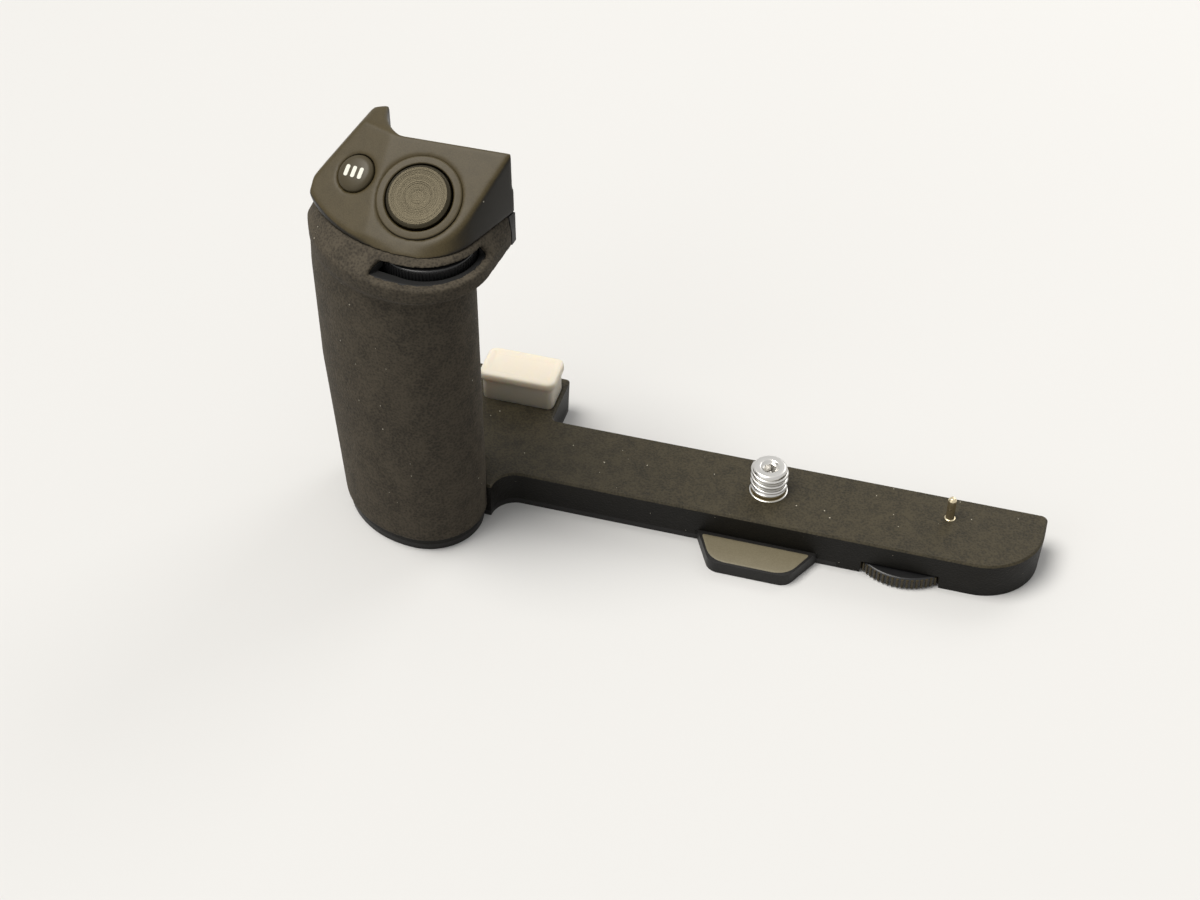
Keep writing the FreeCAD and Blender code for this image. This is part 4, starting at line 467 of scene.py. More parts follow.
class Workshop:
    """Holds the loaded frame and the finishes, and puts pieces into the scene."""

    def __init__(self, frame: dict) -> None:
        """Build the finishes.
        """
        self.nodes: dict[str, bpy.types.Object] = frame["nodes"]
        groups = ShaderGroups()
        self.finishes = {finish.name: finish for finish in FINISHES}
        self.materials = {finish.name: finish.build(groups) for finish in FINISHES}

    def dress(self, node: str, finish: str) -> None:
        """Give a CAD node a finish."""
        item = self.nodes[node]
        if item.material_slots:
            for slot in item.material_slots:
                slot.material = self.materials[finish]
        else:
            item.data.materials.append(self.materials[finish])
        LOG.info("node %s in %s", node, finish)

    def add(self, name: str, mesh: bpy.types.Mesh, finish: str, body: Body,
            stands_for: tuple[str, ...] = (), crease: float = CREASE_ANGLE) -> bpy.types.Object:
        """Put a finished mesh into the scene as a piece that rides on a body.

        Args:
            name: the piece's name.
            mesh: its mesh, in metres and in place.
            finish: the finish's name.
            body: the body that it rides on.
            stands_for: CAD nodes that it replaces.
            crease: angle in degrees past which an edge stays sharp; 0 keeps the mesh's own normals.

        Returns:
            The piece.
        """
        mesh.name = name
        if crease:
            mesh.shade_smooth()
            mesh.set_sharp_from_angle(angle=math.radians(crease))
        mesh.materials.clear()
        mesh.materials.append(self.materials[finish])
        piece = bpy.data.objects.new(name, mesh)
        bpy.context.scene.collection.objects.link(piece)
        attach(piece, body.value)
        if stands_for:
            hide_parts(*stands_for)
        LOG.info("piece %s in %s, %d faces", name, finish, len(mesh.polygons))
        return piece

    def merged(self, node: str) -> bmesh.types.BMesh:
        """A copy of a CAD node's mesh with its loose triangles joined."""
        copy = bmesh.new()
        copy.from_mesh(self.nodes[node].data)
        bmesh.ops.remove_doubles(copy, verts=copy.verts, dist=JOIN_DISTANCE)
        return copy

    def through(self, mesh: bpy.types.Mesh, steps: list[tuple[str, dict]]) -> bpy.types.Mesh:
        """Run a mesh through modifiers and give the plain result.

        Args:
            mesh: the starting mesh.
            steps: each modifier's type and settings.

        Returns:
            The evaluated mesh.
        """
        carrier = bpy.data.objects.new("carrier", mesh)
        bpy.context.scene.collection.objects.link(carrier)
        for kind, settings in steps:
            modifier = carrier.modifiers.new(kind.lower(), kind)
            for key, value in settings.items():
                setattr(modifier, key, value)
        graph = bpy.context.evaluated_depsgraph_get()
        made = bpy.data.meshes.new_from_object(carrier.evaluated_get(graph), depsgraph=graph)
        bpy.data.objects.remove(carrier)
        return made

    def moulded(self, node: str, voxel: float, rounds: int) -> bpy.types.Mesh:
        """A CAD node's form with the soft edges of a moulding.

        Args:
            node: the node whose form it takes.
            voxel: grid size in millimetres.
            rounds: smoothing passes.

        Returns:
            The softened mesh.
        """
        return self.through(to_mesh(self.merged(node)), [
            ("REMESH", {"mode": "VOXEL", "voxel_size": voxel * MM, "adaptivity": 0.0}),
            ("SMOOTH", {"factor": 0.5, "iterations": rounds}),
        ])

    def bevelled(self, node: str, width: float) -> bpy.types.Mesh:
        """A CAD node's form with a small round on its sharp edges.

        Args:
            node: the node whose form it takes.
            width: the round's size in millimetres.

        Returns:
            The mesh.
        """
        joined = self.merged(node)
        bmesh.ops.dissolve_limit(
            joined, angle_limit=math.radians(FLAT_ANGLE), verts=joined.verts, edges=joined.edges)
        for face in joined.faces:
            face.smooth = True
        return self.through(to_mesh(joined), [
            ("BEVEL", {
                "width": width * MM, "segments": 3, "limit_method": "ANGLE",
                "angle_limit": math.radians(CREASE_ANGLE), "use_clamp_overlap": True}),
            ("WEIGHTED_NORMAL", {"weight": 90, "keep_sharp": True}),
        ])


# Mesh making


LEAST_RADIUS = 0.01
LEAST_ROUND = 0.02
SHORTEST_RUN = 0.45


def to_mesh(source: bmesh.types.BMesh) -> bpy.types.Mesh:
    """Turn a bmesh into a mesh and free it."""
    mesh = bpy.data.meshes.new("made")
    source.to_mesh(mesh)
    source.free()
    return mesh


def ring_stack(rings: list[list[Vector]], closed: bool = False) -> bmesh.types.BMesh:
    """Skin a stack of rings that have the same number of points.

    Args:
        rings: the rings in order, in millimetres.
        closed: whether the last ring joins the first; otherwise both ends are filled.

    Returns:
        The skinned form, in metres.
    """
    made = bmesh.new()
    rows = [[made.verts.new(point * MM) for point in ring] for ring in rings]
    count = len(rows[0])
    spans = list(zip(rows, rows[1:]))
    if closed:
        spans.append((rows[-1], rows[0]))
    for low, high in spans:
        for index in range(count):
            after = (index + 1) % count
            made.faces.new((low[index], low[after], high[after], high[index]))
    if not closed:
        made.faces.new(list(reversed(rows[0])))
        made.faces.new(rows[-1])
    bmesh.ops.recalc_face_normals(made, faces=made.faces)
    return made


def circle(radius: float, height: float, count: int) -> list[Vector]:
    """A ring of points round the Z axis."""
    return [
        Vector((radius * math.cos(math.tau * i / count), radius * math.sin(math.tau * i / count), height))
        for i in range(count)
    ]


def hexagon(flats: float, height: float, count: int) -> list[Vector]:
    """A hexagonal ring with as many points as the circles that it joins."""
    points = []
    for index in range(count):
        angle = math.tau * index / count
        fold = (angle + math.pi / 6.0) % (math.pi / 3.0) - math.pi / 6.0
        radius = flats / 2.0 / math.cos(fold)
        points.append(Vector((radius * math.cos(angle), radius * math.sin(angle), height)))
    return points


def lobed(radius: float, depth: float, lobes: int, height: float, count: int) -> list[Vector]:
    """A ring whose radius swells and shrinks by a depth, once for each lobe."""
    points = []
    for index in range(count):
        angle = math.tau * index / count
        reach = radius + depth * math.cos(lobes * angle)
        points.append(Vector((reach * math.cos(angle), reach * math.sin(angle), height)))
    return points


def rounded_rectangle(low: tuple[float, float], high: tuple[float, float], radius: float, grow: float,
                      height: float, steps: int = 8) -> list[Vector]:
    """A rounded rectangle grown outwards by an offset, as a ring of points."""
    points = []
    corner = max(radius + grow, LEAST_ROUND)
    centres = (
        (high[0] - radius, high[1] - radius, 0.0),
        (low[0] + radius, high[1] - radius, 90.0),
        (low[0] + radius, low[1] + radius, 180.0),
        (high[0] - radius, low[1] + radius, 270.0),
    )
    for x, y, start in centres:
        for step in range(steps + 1):
            angle = math.radians(start + 90.0 * step / steps)
            points.append(Vector((x + corner * math.cos(angle), y + corner * math.sin(angle), height)))
    return points


def round_points(start: Vector, corner: Vector, stop: Vector, steps: int) -> list[Vector]:
    """Points of a round that leaves one run at its start and joins the next at its stop."""
    shares = [step / steps for step in range(steps + 1)]
    return [start * (1 - t) ** 2 + corner * (2 * t * (1 - t)) + stop * t ** 2 for t in shares]


def eased(profile: Profile, radius: float, steps: int = 4) -> Profile:
    """Round the inner corners of an open profile.

    Args:
        profile: the corners, in order.
        radius: the largest round, cut down where a run is short.
        steps: segments in each round.

    Returns:
        The profile with rounds in place of its inner corners.
    """
    result = [profile[0]]
    for before, here, after in zip(profile, profile[1:], profile[2:]):
        corner = Vector(here)
        back, ahead = Vector(before) - corner, Vector(after) - corner
        reach = min(radius, back.length * SHORTEST_RUN, ahead.length * SHORTEST_RUN)
        start, stop = corner + back.normalized() * reach, corner + ahead.normalized() * reach
        result += [(point.x, point.y) for point in round_points(start, corner, stop, steps)]
    result.append(profile[-1])
    return result


def turned(profile: Profile, ease: float, steps: int = 4, count: int = 96,
           loop: bool = False) -> bmesh.types.BMesh:
    """Round a profile's corners and turn it about the Z axis.

    Args:
        profile: points of radius and height; an open profile has its ends filled.
        ease: the largest round.
        steps: segments in each round.
        count: segments round the axis.
        loop: whether the profile ends where it starts, so that a bore is left.

    Returns:
        The turned form, in metres.
    """
    soft = eased(profile, ease, steps)
    if loop:
        soft.pop()
    return ring_stack([circle(max(r, LEAST_RADIUS), z, count) for r, z in soft], loop)


def placed(source: bmesh.types.BMesh, place: Matrix) -> bpy.types.Mesh:
    """Move a form into place and give its mesh."""
    bmesh.ops.transform(source, matrix=place, verts=source.verts)
    return to_mesh(source)


def tilted(axis: str, angle: float) -> Matrix:
    """A turn about one axis, given in degrees."""
    return Matrix.Rotation(math.radians(angle), 4, axis)


def shift(x: float, y: float, z: float = 0.0) -> Matrix:
    """A move given in millimetres."""
    return Matrix.Translation(Vector((x, y, z)) * MM)


# Geometry Nodes


class PartTree(Nodes):
    """A Geometry Nodes tree with named size inputs, baked to a plain mesh."""

    def __init__(self, name: str, inputs: dict[str, str]) -> None:
        """Start the tree with its sockets.

        Args:
            name: the tree's name.
            inputs: each named input and its socket type, besides the geometry and the material.
        """
        super().__init__(bpy.data.node_groups.new(name, "GeometryNodeTree"))
        face = self.tree.interface
        for way in ("INPUT", "OUTPUT"):
            face.new_socket("Geometry", in_out=way, socket_type="NodeSocketGeometry")
        self.tree.is_modifier = True
        self.identifiers: dict[str, str] = {}
        for label, kind in {**inputs, "Material": "NodeSocketMaterial"}.items():
            socket = face.new_socket(label, in_out="INPUT", socket_type=kind)
            self.identifiers[label] = socket.identifier
        self.given = self.tree.nodes.new("NodeGroupInput").outputs

    def raised(self, geometry: bpy.types.NodeSocket) -> bpy.types.NodeSocket:
        """Lift a geometry by the tree's input for its bottom."""
        lift = self.node("ShaderNodeCombineXYZ", None, {2: self.given["Bottom"]})
        moved = self.node("GeometryNodeTransform", None, {
            "Geometry": geometry, "Translation": lift.outputs[0]})
        return moved.outputs[0]

    def finish(self, geometry: bpy.types.NodeSocket) -> None:
        """End the tree in Realize Instances and Set Material."""
        real = self.node("GeometryNodeRealizeInstances", None, {"Geometry": geometry})
        paint = self.node("GeometryNodeSetMaterial", None, {
            "Geometry": real.outputs[0], "Material": self.given["Material"]})
        self.node("NodeGroupOutput", None, {0: paint.outputs[0]})

    def bake(self, values: dict[str, object],
             seed_mesh: bpy.types.Mesh | None = None) -> bpy.types.Mesh:
        """Evaluate the tree with these inputs.

        Args:
            values: each named input's value.
            seed_mesh: the mesh that the tree receives, if it reads one.

        Returns:
            The result as a plain mesh.
        """
        seed = seed_mesh or bpy.data.meshes.new("tree_seed")
        carrier = bpy.data.objects.new("tree_carrier", seed)
        bpy.context.scene.collection.objects.link(carrier)
        modifier = carrier.modifiers.new("tree", "NODES")
        modifier.node_group = self.tree
        for label, value in values.items():
            modifier[self.identifiers[label]] = value
        graph = bpy.context.evaluated_depsgraph_get()
        made = bpy.data.meshes.new_from_object(carrier.evaluated_get(graph), depsgraph=graph)
        carrier.modifiers.remove(modifier)
        bpy.data.objects.remove(carrier)
        return made


@dataclass(frozen=True)
class Ribs:
    """How many ribs stand round a rim, and their sizes in millimetres."""

    count: int
    rim: float
    radius: float
    height: float
    bottom: float


class RibTree(PartTree):
    """Upright ribs set round a rim."""

    def __init__(self) -> None:
        """Build the tree."""
        sizes = ("Radius", "Rib Radius", "Height", "Bottom")
        super().__init__("rim_ribs", {
            "Count": "NodeSocketInt", **dict.fromkeys(sizes, "NodeSocketFloat")})
        rim = self.node("GeometryNodeMeshCircle", None, {
            "Vertices": self.given["Count"], "Radius": self.given["Radius"]})
        rib = self.node("GeometryNodeMeshCone", None, {
            "Vertices": 10, "Side Segments": 3, "Radius Top": self.given["Rib Radius"],
            "Radius Bottom": self.given["Rib Radius"], "Depth": self.given["Height"]})
        set_round = self.node("GeometryNodeInstanceOnPoints", None, {
            "Points": rim.outputs[0], "Instance": rib.outputs[0]})
        self.finish(self.raised(set_round.outputs[0]))


RIDGE_SHAPE = (1.45, 0.95, 1.0)


class ThreadTree(PartTree):
    """A screw thread that climbs at a steady pitch."""

    def __init__(self) -> None:
        """Build the tree."""
        sizes = ("Radius", "Pitch", "Turns", "Depth", "Bottom")
        super().__init__("screw_thread", dict.fromkeys(sizes, "NodeSocketFloat"))
        rise = self.math("MULTIPLY", self.given["Pitch"], self.given["Turns"])
        middle = self.math("SUBTRACT", self.given["Radius"], self.given["Depth"])
        helix = self.node("GeometryNodeCurveSpiral", None, {
            "Resolution": 72, "Rotations": self.given["Turns"], "Start Radius": middle,
            "End Radius": middle, "Height": rise})
        upright = self.node("GeometryNodeSetCurveNormal", None, {"Curve": helix.outputs[0]})
        set_normal_up(upright)
        ridge = self.node("GeometryNodeCurvePrimitiveCircle", {"mode": "RADIUS"}, {
            "Resolution": 12, "Radius": self.given["Depth"]})
        wide = self.node("GeometryNodeTransform", None, {
            "Geometry": ridge.outputs[0], "Scale": RIDGE_SHAPE})
        swept = self.node("GeometryNodeCurveToMesh", None, {
            "Curve": upright.outputs[0], "Profile Curve": wide.outputs[0], "Fill Caps": True})
        self.finish(self.raised(swept.outputs[0]))


def set_normal_up(node: bpy.types.Node) -> None:
    """Choose the upright normal mode, whether it is a property or a menu input."""
    if hasattr(node, "mode"):
        node.mode = "Z_UP"
    else:
        node.inputs["Mode"].default_value = "Z Up"


class SetTree(PartTree):
    """One template repeated at each point of a set."""

    def __init__(self) -> None:
        """Build the tree."""
        super().__init__("repeated_set", {"Template": "NodeSocketObject"})
        template = self.node("GeometryNodeObjectInfo", None, {"Object": self.given["Template"]})
        spread = self.node("GeometryNodeInstanceOnPoints", None, {
            "Points": self.given["Geometry"], "Instance": template.outputs["Geometry"]})
        self.finish(spread.outputs[0])


@dataclass
class Trees:
    """The Geometry Nodes trees of the object."""

    ribs: RibTree = field(default_factory=RibTree)
    thread: ThreadTree = field(default_factory=ThreadTree)
    repeated: SetTree = field(default_factory=SetTree)

    def ribbed(self, ribs: Ribs, centre: tuple[float, float],
               material: bpy.types.Material) -> bpy.types.Mesh:
        """Set ribs round the rim of a wheel.

        Args:
            ribs: their number and sizes.
            centre: the wheel's middle, in millimetres.
            material: their material.

        Returns:
            The ribs as one mesh.
        """
        made = self.ribs.bake({
            "Count": ribs.count, "Radius": ribs.rim * MM, "Rib Radius": ribs.radius * MM,
            "Height": ribs.height * MM, "Bottom": ribs.bottom * MM, "Material": material})
        made.transform(shift(*centre))
        return made

    def spread(self, template: bmesh.types.BMesh, places: list[Point],
               material: bpy.types.Material) -> bpy.types.Mesh:
        """Repeat a template at places given in millimetres.

        Args:
            template: the form that is repeated, in metres, about the origin.
            places: where each copy goes.
            material: its material.

        Returns:
            The repeated set as one mesh.
        """
        holder = bpy.data.objects.new("template", to_mesh(template))
        bpy.context.scene.collection.objects.link(holder)
        points = bpy.data.meshes.new("places")
        points.from_pydata([Vector(place) * MM for place in places], [], [])
        made = self.repeated.bake({"Template": holder, "Material": material}, points)
        bpy.data.objects.remove(holder)
        return made


# Profiles in millimetres: points of radius and height, or of outward offset and height


BEZEL_PROFILE: Profile = [
    (5.56, -1.2), (6.5, -1.2), (6.5, -0.35), (7.0, -0.35), (7.0, 0.0), (6.82, 0.16), (5.76, 0.22),
    (5.56, 0.05), (5.56, -1.2)]
SHUTTER_PROFILE: Profile = [
    (0.0, -2.9), (0.9, -2.9), (0.9, -1.9), (6.2, -1.9), (6.2, -1.3), (5.3, -1.3), (5.3, 0.5),
    (4.85, 0.86), (4.3, 0.84), (0.0, 0.72)]
FUNCTION_PROFILE: Profile = [
    (0.0, -3.1), (0.9, -3.1), (0.9, -2.1), (3.6, -2.1), (3.6, -1.6), (3.15, -1.6), (3.15, 0.1),
    (2.55, 0.5), (1.6, 0.66), (0.0, 0.7)]
DIAL_PROFILE: Profile = [
    (1.25, 50.4), (7.85, 50.4), (7.85, 53.1), (7.35, 53.2), (6.2, 53.2), (5.9, 52.95), (2.2, 52.95),
    (1.9, 53.2), (1.25, 53.2), (1.25, 50.4)]
PIN_PROFILE: Profile = [
    (0.0, -3.35), (1.0, -3.35), (1.0, -0.06), (0.75, -0.04), (0.75, 4.1), (0.45, 4.58), (0.0, 4.6)]
SCREW_PROFILE: Profile = [
    (2.2, -2.2), (2.2, -1.2), (3.4, -1.2), (3.4, -0.03), (3.16, 0.0), (3.16, 1.05), (3.0, 1.15),
    (2.82, 1.35), (2.82, 4.2), (3.05, 4.4), (3.08, 5.0), (2.75, 5.45), (1.62, 5.45), (1.4, 5.15)]
COLLAR_PROFILE: Profile = [(3.12, 0.04), (3.175, 0.04), (3.175, 0.8), (3.12, 0.84), (3.12, 0.04)]
WHEEL_PROFILE: Profile = [
    (2.52, -7.2), (6.2, -7.2), (6.4, -6.9), (8.0, -6.9), (8.2, -7.2), (9.36, -7.2), (9.66, -6.95),
    (9.66, -5.25), (9.36, -5.0), (3.2, -5.0), (3.2, -2.25), (2.2, -2.25), (2.2, -1.2), (1.35, -1.2),
    (1.35, -6.3), (2.52, -6.3), (2.52, -7.2)]
LEDGE_PROFILE: Profile = [(0.0, -0.1), (0.0, 0.01), (-0.15, 0.07), (-0.5, 0.1)]
CAP_PROFILE: Profile = [
    (-2.6, 5.99), (-1.1, 6.0), (-0.8, 6.08), (-0.5, 6.2), (0.1, 6.18), (0.4, 6.02), (0.5, 5.75),
    (0.5, 4.9), (0.42, 4.55), (0.1, 4.35), (0.02, 3.9), (0.0, 0.0), (-0.15, -0.24)]
BLADE_PROFILE: Profile = [(0.0, 0.0), (0.0, 2.2), (-0.06, 2.4)]
SCREW_HEAD_PROFILE: Profile = [(1.05, 0.0), (1.3, 0.05), (1.35, 0.14), (0.7, 0.7)]


# Pieces


@dataclass
class Column:
    """The gripping column: rubber skin, inner core, rear cover and pad."""

    voxel: float = 0.3
    rounds: int = 5
    rear_round: float = 0.35

    def build(self, shop: Workshop) -> None:
        """Make and dress the column's pieces."""
        skin = shop.moulded("grip_skin", self.voxel, self.rounds)
        shop.add("column_skin", skin, "grip_rubber", Body.GRIP, ("grip_skin",), crease=60.0)
        shop.add("column_back", shop.bevelled("rear_cover", self.rear_round), "rear_plastic", Body.GRIP,
                 ("rear_cover",), crease=0.0)
        shop.dress("grip_core", "inner_plastic")
        shop.dress("rear_pad", "pad_rubber")


@dataclass
class Head:
    """The control head: the moulded cover with the wing, and the shutter button's bezel."""

    voxel: float = 0.25
    rounds: int = 26

    @staticmethod
    def frame() -> Matrix:
        """The shutter button's own frame."""
        return shift(*SHUTTER_PLACE) @ tilted("X", DECK_TILT)

    def build(self, shop: Workshop) -> None:
        """Make and dress the head's pieces."""
        cover = shop.moulded("head_cover", self.voxel, self.rounds)
        shop.add("head_shell", cover, "head_plastic", Body.GRIP, ("head_cover",), crease=60.0)
        ring = turned(BEZEL_PROFILE, ease=0.18, count=128, loop=True)
        shop.add("shutter_surround", placed(ring, self.frame()), "head_plastic", Body.GRIP,
                 ("shutter_bezel",))


@dataclass
class Buttons:
    """The shutter button and the function button."""

    deck_corner: Point = (-63.5, -5.0, 65.9)
    roll: float = -12.0
    function_place: tuple[float, float] = (-4.7, -7.3)
    mark_level: float = 0.66
    mark_turn: float = -8.0
    mark_half: float = 0.05
    stroke_pitch: float = 1.3
    stroke_width: float = 0.36
    stroke_height: float = 0.95
    stroke_corner: float = 0.3

    def function_frame(self) -> Matrix:
        """The function button's own frame, rolled with the head's left part."""
        deck = shift(*self.deck_corner) @ tilted("X", DECK_TILT)
        return deck @ tilted("Y", self.roll) @ shift(*self.function_place)

    def build(self, shop: Workshop) -> None:
        """Make both buttons and the print on the smaller one."""
        shutter = turned(SHUTTER_PROFILE, ease=0.28, steps=5, count=128)
        shop.add("shutter_key", placed(shutter, Head.frame()), "spun_black", Body.SHUTTER,
                 ("shutter_button",), crease=SOFT_CREASE)
        function = turned(FUNCTION_PROFILE, ease=0.45, steps=6)
        place = self.function_frame()
        shop.add("function_key", placed(function, place), "key_black", Body.FUNCTION,
                 ("function_button",), crease=SOFT_CREASE)
        self._mark(shop, place)

    def _mark(self, shop: Workshop, place: Matrix) -> None:
        """The generic printed mark on the function button: three short strokes in a row."""
        turn = place @ shift(0.0, 0.0, self.mark_level) @ tilted("Z", self.mark_turn)
        marks = bmesh.new()
        for step in (-1, 0, 1):
            low = (step * self.stroke_pitch - self.stroke_width, -self.stroke_height)
            high = (step * self.stroke_pitch + self.stroke_width, self.stroke_height)
            part = ring_stack([
                rounded_rectangle(low, high, self.stroke_corner, 0.0, height)
                for height in (-self.mark_half, self.mark_half)])
            marks.from_mesh(to_mesh(part))
        shop.add("function_print", placed(marks, turn), "white_print", Body.FUNCTION)


@dataclass
class Dial:
    """The front dial with its ribbed rim."""

    centre: tuple[float, float] = (-55.0, -14.5)
    ribs: Ribs = Ribs(count=88, rim=7.85, radius=0.15, height=2.3, bottom=50.6)

    def build(self, shop: Workshop, trees: Trees) -> None:
        """Make the dial's body and ribs."""
        body = turned(DIAL_PROFILE, ease=0.2, count=128, loop=True)
        shop.add("dial_disc", placed(body, shift(*self.centre)), "control_black", Body.DIAL,
                 ("control_dial",))
        ribs = trees.ribbed(self.ribs, self.centre, shop.materials["control_black"])
        shop.add("dial_ribs", ribs, "control_black", Body.DIAL)


@dataclass
class BaseBar:
    """The base bar with its cover, ledge and locating pin."""

    edge_round: float = 0.24
    cover_round: float = 0.3
    ledge_top: float = -5.0
    ledge_corners: tuple[Point, ...] = (
        (9.6, -9.1, 0.4), (-9.6, -9.1, 0.4), (-6.8, -14.85, 4.5), (6.8, -14.85, 4.5))

    def build(self, shop: Workshop) -> None:
        """Make and dress the base's pieces."""
        shop.add("bar_frame", shop.bevelled("base_frame", self.edge_round), "bar_plastic", Body.GRIP,
                 ("base_frame",), crease=0.0)
        shop.add("bar_cover", shop.bevelled("bottom_cover", self.cover_round), "cover_plastic", Body.GRIP,
                 ("bottom_cover",), crease=0.0)
        self._ledge(shop)
        self._pin(shop)

    def _ledge(self, shop: Workshop) -> None:
        """The smooth paler panel on top of the front ledge."""
        panel = ring_stack([
            rounded_polygon(self.ledge_corners, grow, self.ledge_top + height)
            for grow, height in LEDGE_PROFILE])
        shop.add("ledge_panel", to_mesh(panel), "ledge_plastic", Body.GRIP)

    def _pin(self, shop: Workshop) -> None:
        """The locating pin with its rounded tip."""
        pin = turned(PIN_PROFILE, ease=0.14, count=48)
        shop.add("locating_pin", placed(pin, shift(*PIN_PLACE)), "pin_metal", Body.GRIP,
                 ("alignment_pin",))


def rounded_polygon(corners: tuple[Point, ...], grow: float, height: float,
                    steps: int = 8) -> list[Vector]:
    """A convex polygon with rounded corners, as a ring of points.

    Args:
        corners: each corner's place and round, counterclockwise.
        grow: offset of every edge, negative for inwards.
        height: the ring's height.
        steps: segments in each round.

    Returns:
        The ring.
    """
    points = []
    count = len(corners)
    centre = Vector((sum(c[0] for c in corners) / count, sum(c[1] for c in corners) / count))
    for index, (x, y, radius) in enumerate(corners):
        here = Vector((x, y))
        before, after = Vector(corners[index - 1][:2]), Vector(corners[(index + 1) % count][:2])
        back, ahead = (before - here).normalized(), (after - here).normalized()
        half = back.angle(ahead) / 2.0
        inward = (back + ahead).normalized()
        moved = here - inward * (grow / math.sin(half))
        reach = radius / math.tan(half)
        start, stop = moved + back * reach, moved + ahead * reach
        points += [Vector((*point, height)) for point in round_points(start, moved, stop, steps)]
    if (points[1] - points[0]).to_2d().cross((centre - points[0].to_2d())) < 0:
        points.reverse()
    return points


@dataclass
class ScrewDrive:
    """The camera screw and the thumbwheel that turns it through the gears."""

    crest: float = 3.175
    ridge: float = 0.3227
    pitch: float = 1.27
    turns: float = 2.55
    thread_bottom: float = 1.57
    flats: float = 2.0
    hexagon_levels: tuple[float, float] = (4.95, 3.15)
    recess_tip: tuple[float, float] = (0.3, 2.55)
    wheel: tuple[float, float] = (25.2, -0.6)
    ribs: Ribs = Ribs(count=72, rim=9.66, radius=0.24, height=1.8, bottom=-7.0)

    def build(self, shop: Workshop, trees: Trees) -> None:
        """Make and dress the drive's pieces."""
        self._screw(shop, trees)
        self._thumbwheel(shop, trees)
        for node in ("screw_gear", "idler_gear_a", "idler_gear_b", "wheel_gear"):
            shop.dress(node, "gear_resin")
        shop.dress("idler_pins", "bright_steel")
        shop.dress("wheel_axle", "black_steel")

    def _screw(self, shop: Workshop, trees: Trees) -> None:
        """The screw's core with its hexagon recess, its plain collar and its helical thread."""
        count = 96
        rings = [circle(radius, height, count) for radius, height in eased(SCREW_PROFILE, 0.3)]
        rings += [hexagon(self.flats, level, count) for level in self.hexagon_levels]
        rings.append(circle(*self.recess_tip, count))
        shop.add("screw_core", to_mesh(ring_stack(rings)), "polished_steel", Body.SCREW,
                 ("camera_screw",), crease=40.0)
        collar = turned(COLLAR_PROFILE, ease=0.02, loop=True)
        shop.add("screw_collar", to_mesh(collar), "collar_brass", Body.SCREW)
        thread = trees.thread.bake({
            "Radius": self.crest * MM, "Pitch": self.pitch * MM, "Turns": self.turns,
            "Depth": self.ridge * MM, "Bottom": self.thread_bottom * MM,
            "Material": shop.materials["polished_steel"]})
        shop.add("screw_thread", thread, "polished_steel", Body.SCREW, crease=SOFT_CREASE)

    def _thumbwheel(self, shop: Workshop, trees: Trees) -> None:
        """The thumbwheel's body and the ribs round its rim."""
        body = turned(WHEEL_PROFILE, ease=0.15, count=128, loop=True)
        shop.add("wheel_body", placed(body, shift(*self.wheel)), "control_black", Body.WHEEL,
                 ("thumbwheel",))
        # The ribs take the paler key_black finish: a painted highlight, standing for light caught on the
        # tops of the teeth.
        ribs = trees.ribbed(self.ribs, self.wheel, shop.materials["key_black"])
        shop.add("wheel_ribs", ribs, "key_black", Body.WHEEL)


@dataclass
class Connector:
    """The plug on the tab with its contacts and its push-on cap."""

    low: tuple[float, float] = (-56.0, 9.34)
    high: tuple[float, float] = (-42.6, 16.3)
    corner: float = 1.1
    contacts: int = 9
    contact_pitch: float = 0.85
    contact_middle: Point = (-49.3, 13.0, 1.0)
    blade_low: tuple[float, float] = (-0.22, -0.5)
    blade_high: tuple[float, float] = (0.22, 0.5)
    blade_corner: float = 0.08
    room: tuple[tuple[float, float], ...] = ((-54.5, 10.7), (-44.1, 15.3))
    room_levels: tuple[float, float] = (-0.24, 4.35)
    room_corner: float = 0.4

    def build(self, shop: Workshop, trees: Trees) -> None:
        """Make and dress the connector's pieces."""
        shop.dress("connector_housing", "connector_black")
        shop.dress("connector_board", "board_green")
        blade = ring_stack([
            rounded_rectangle(self.blade_low, self.blade_high, self.blade_corner, grow, height, 3)
            for grow, height in BLADE_PROFILE])
        x, y, z = self.contact_middle
        middle = (self.contacts - 1) / 2.0
        places = [(x + self.contact_pitch * (i - middle), y, z) for i in range(self.contacts)]
        blades = trees.spread(blade, places, shop.materials["contact_gold"])
        shop.add("contact_blades", blades, "contact_gold", Body.GRIP, ("connector_contacts",))
        self._cap(shop)

    def _cap(self, shop: Workshop) -> None:
        """The cap: a soft-edged box with a wider rim, hollow from below."""
        rings = [
            rounded_rectangle(self.low, self.high, self.corner, grow, height)
            for grow, height in CAP_PROFILE]
        rings += [
            rounded_rectangle(*self.room, self.room_corner, 0.0, level) for level in self.room_levels]
        shop.add("cap_moulding", to_mesh(ring_stack(rings)), "cap_ivory", Body.CAP,
                 ("connector_cap",), crease=SOFT_CREASE)


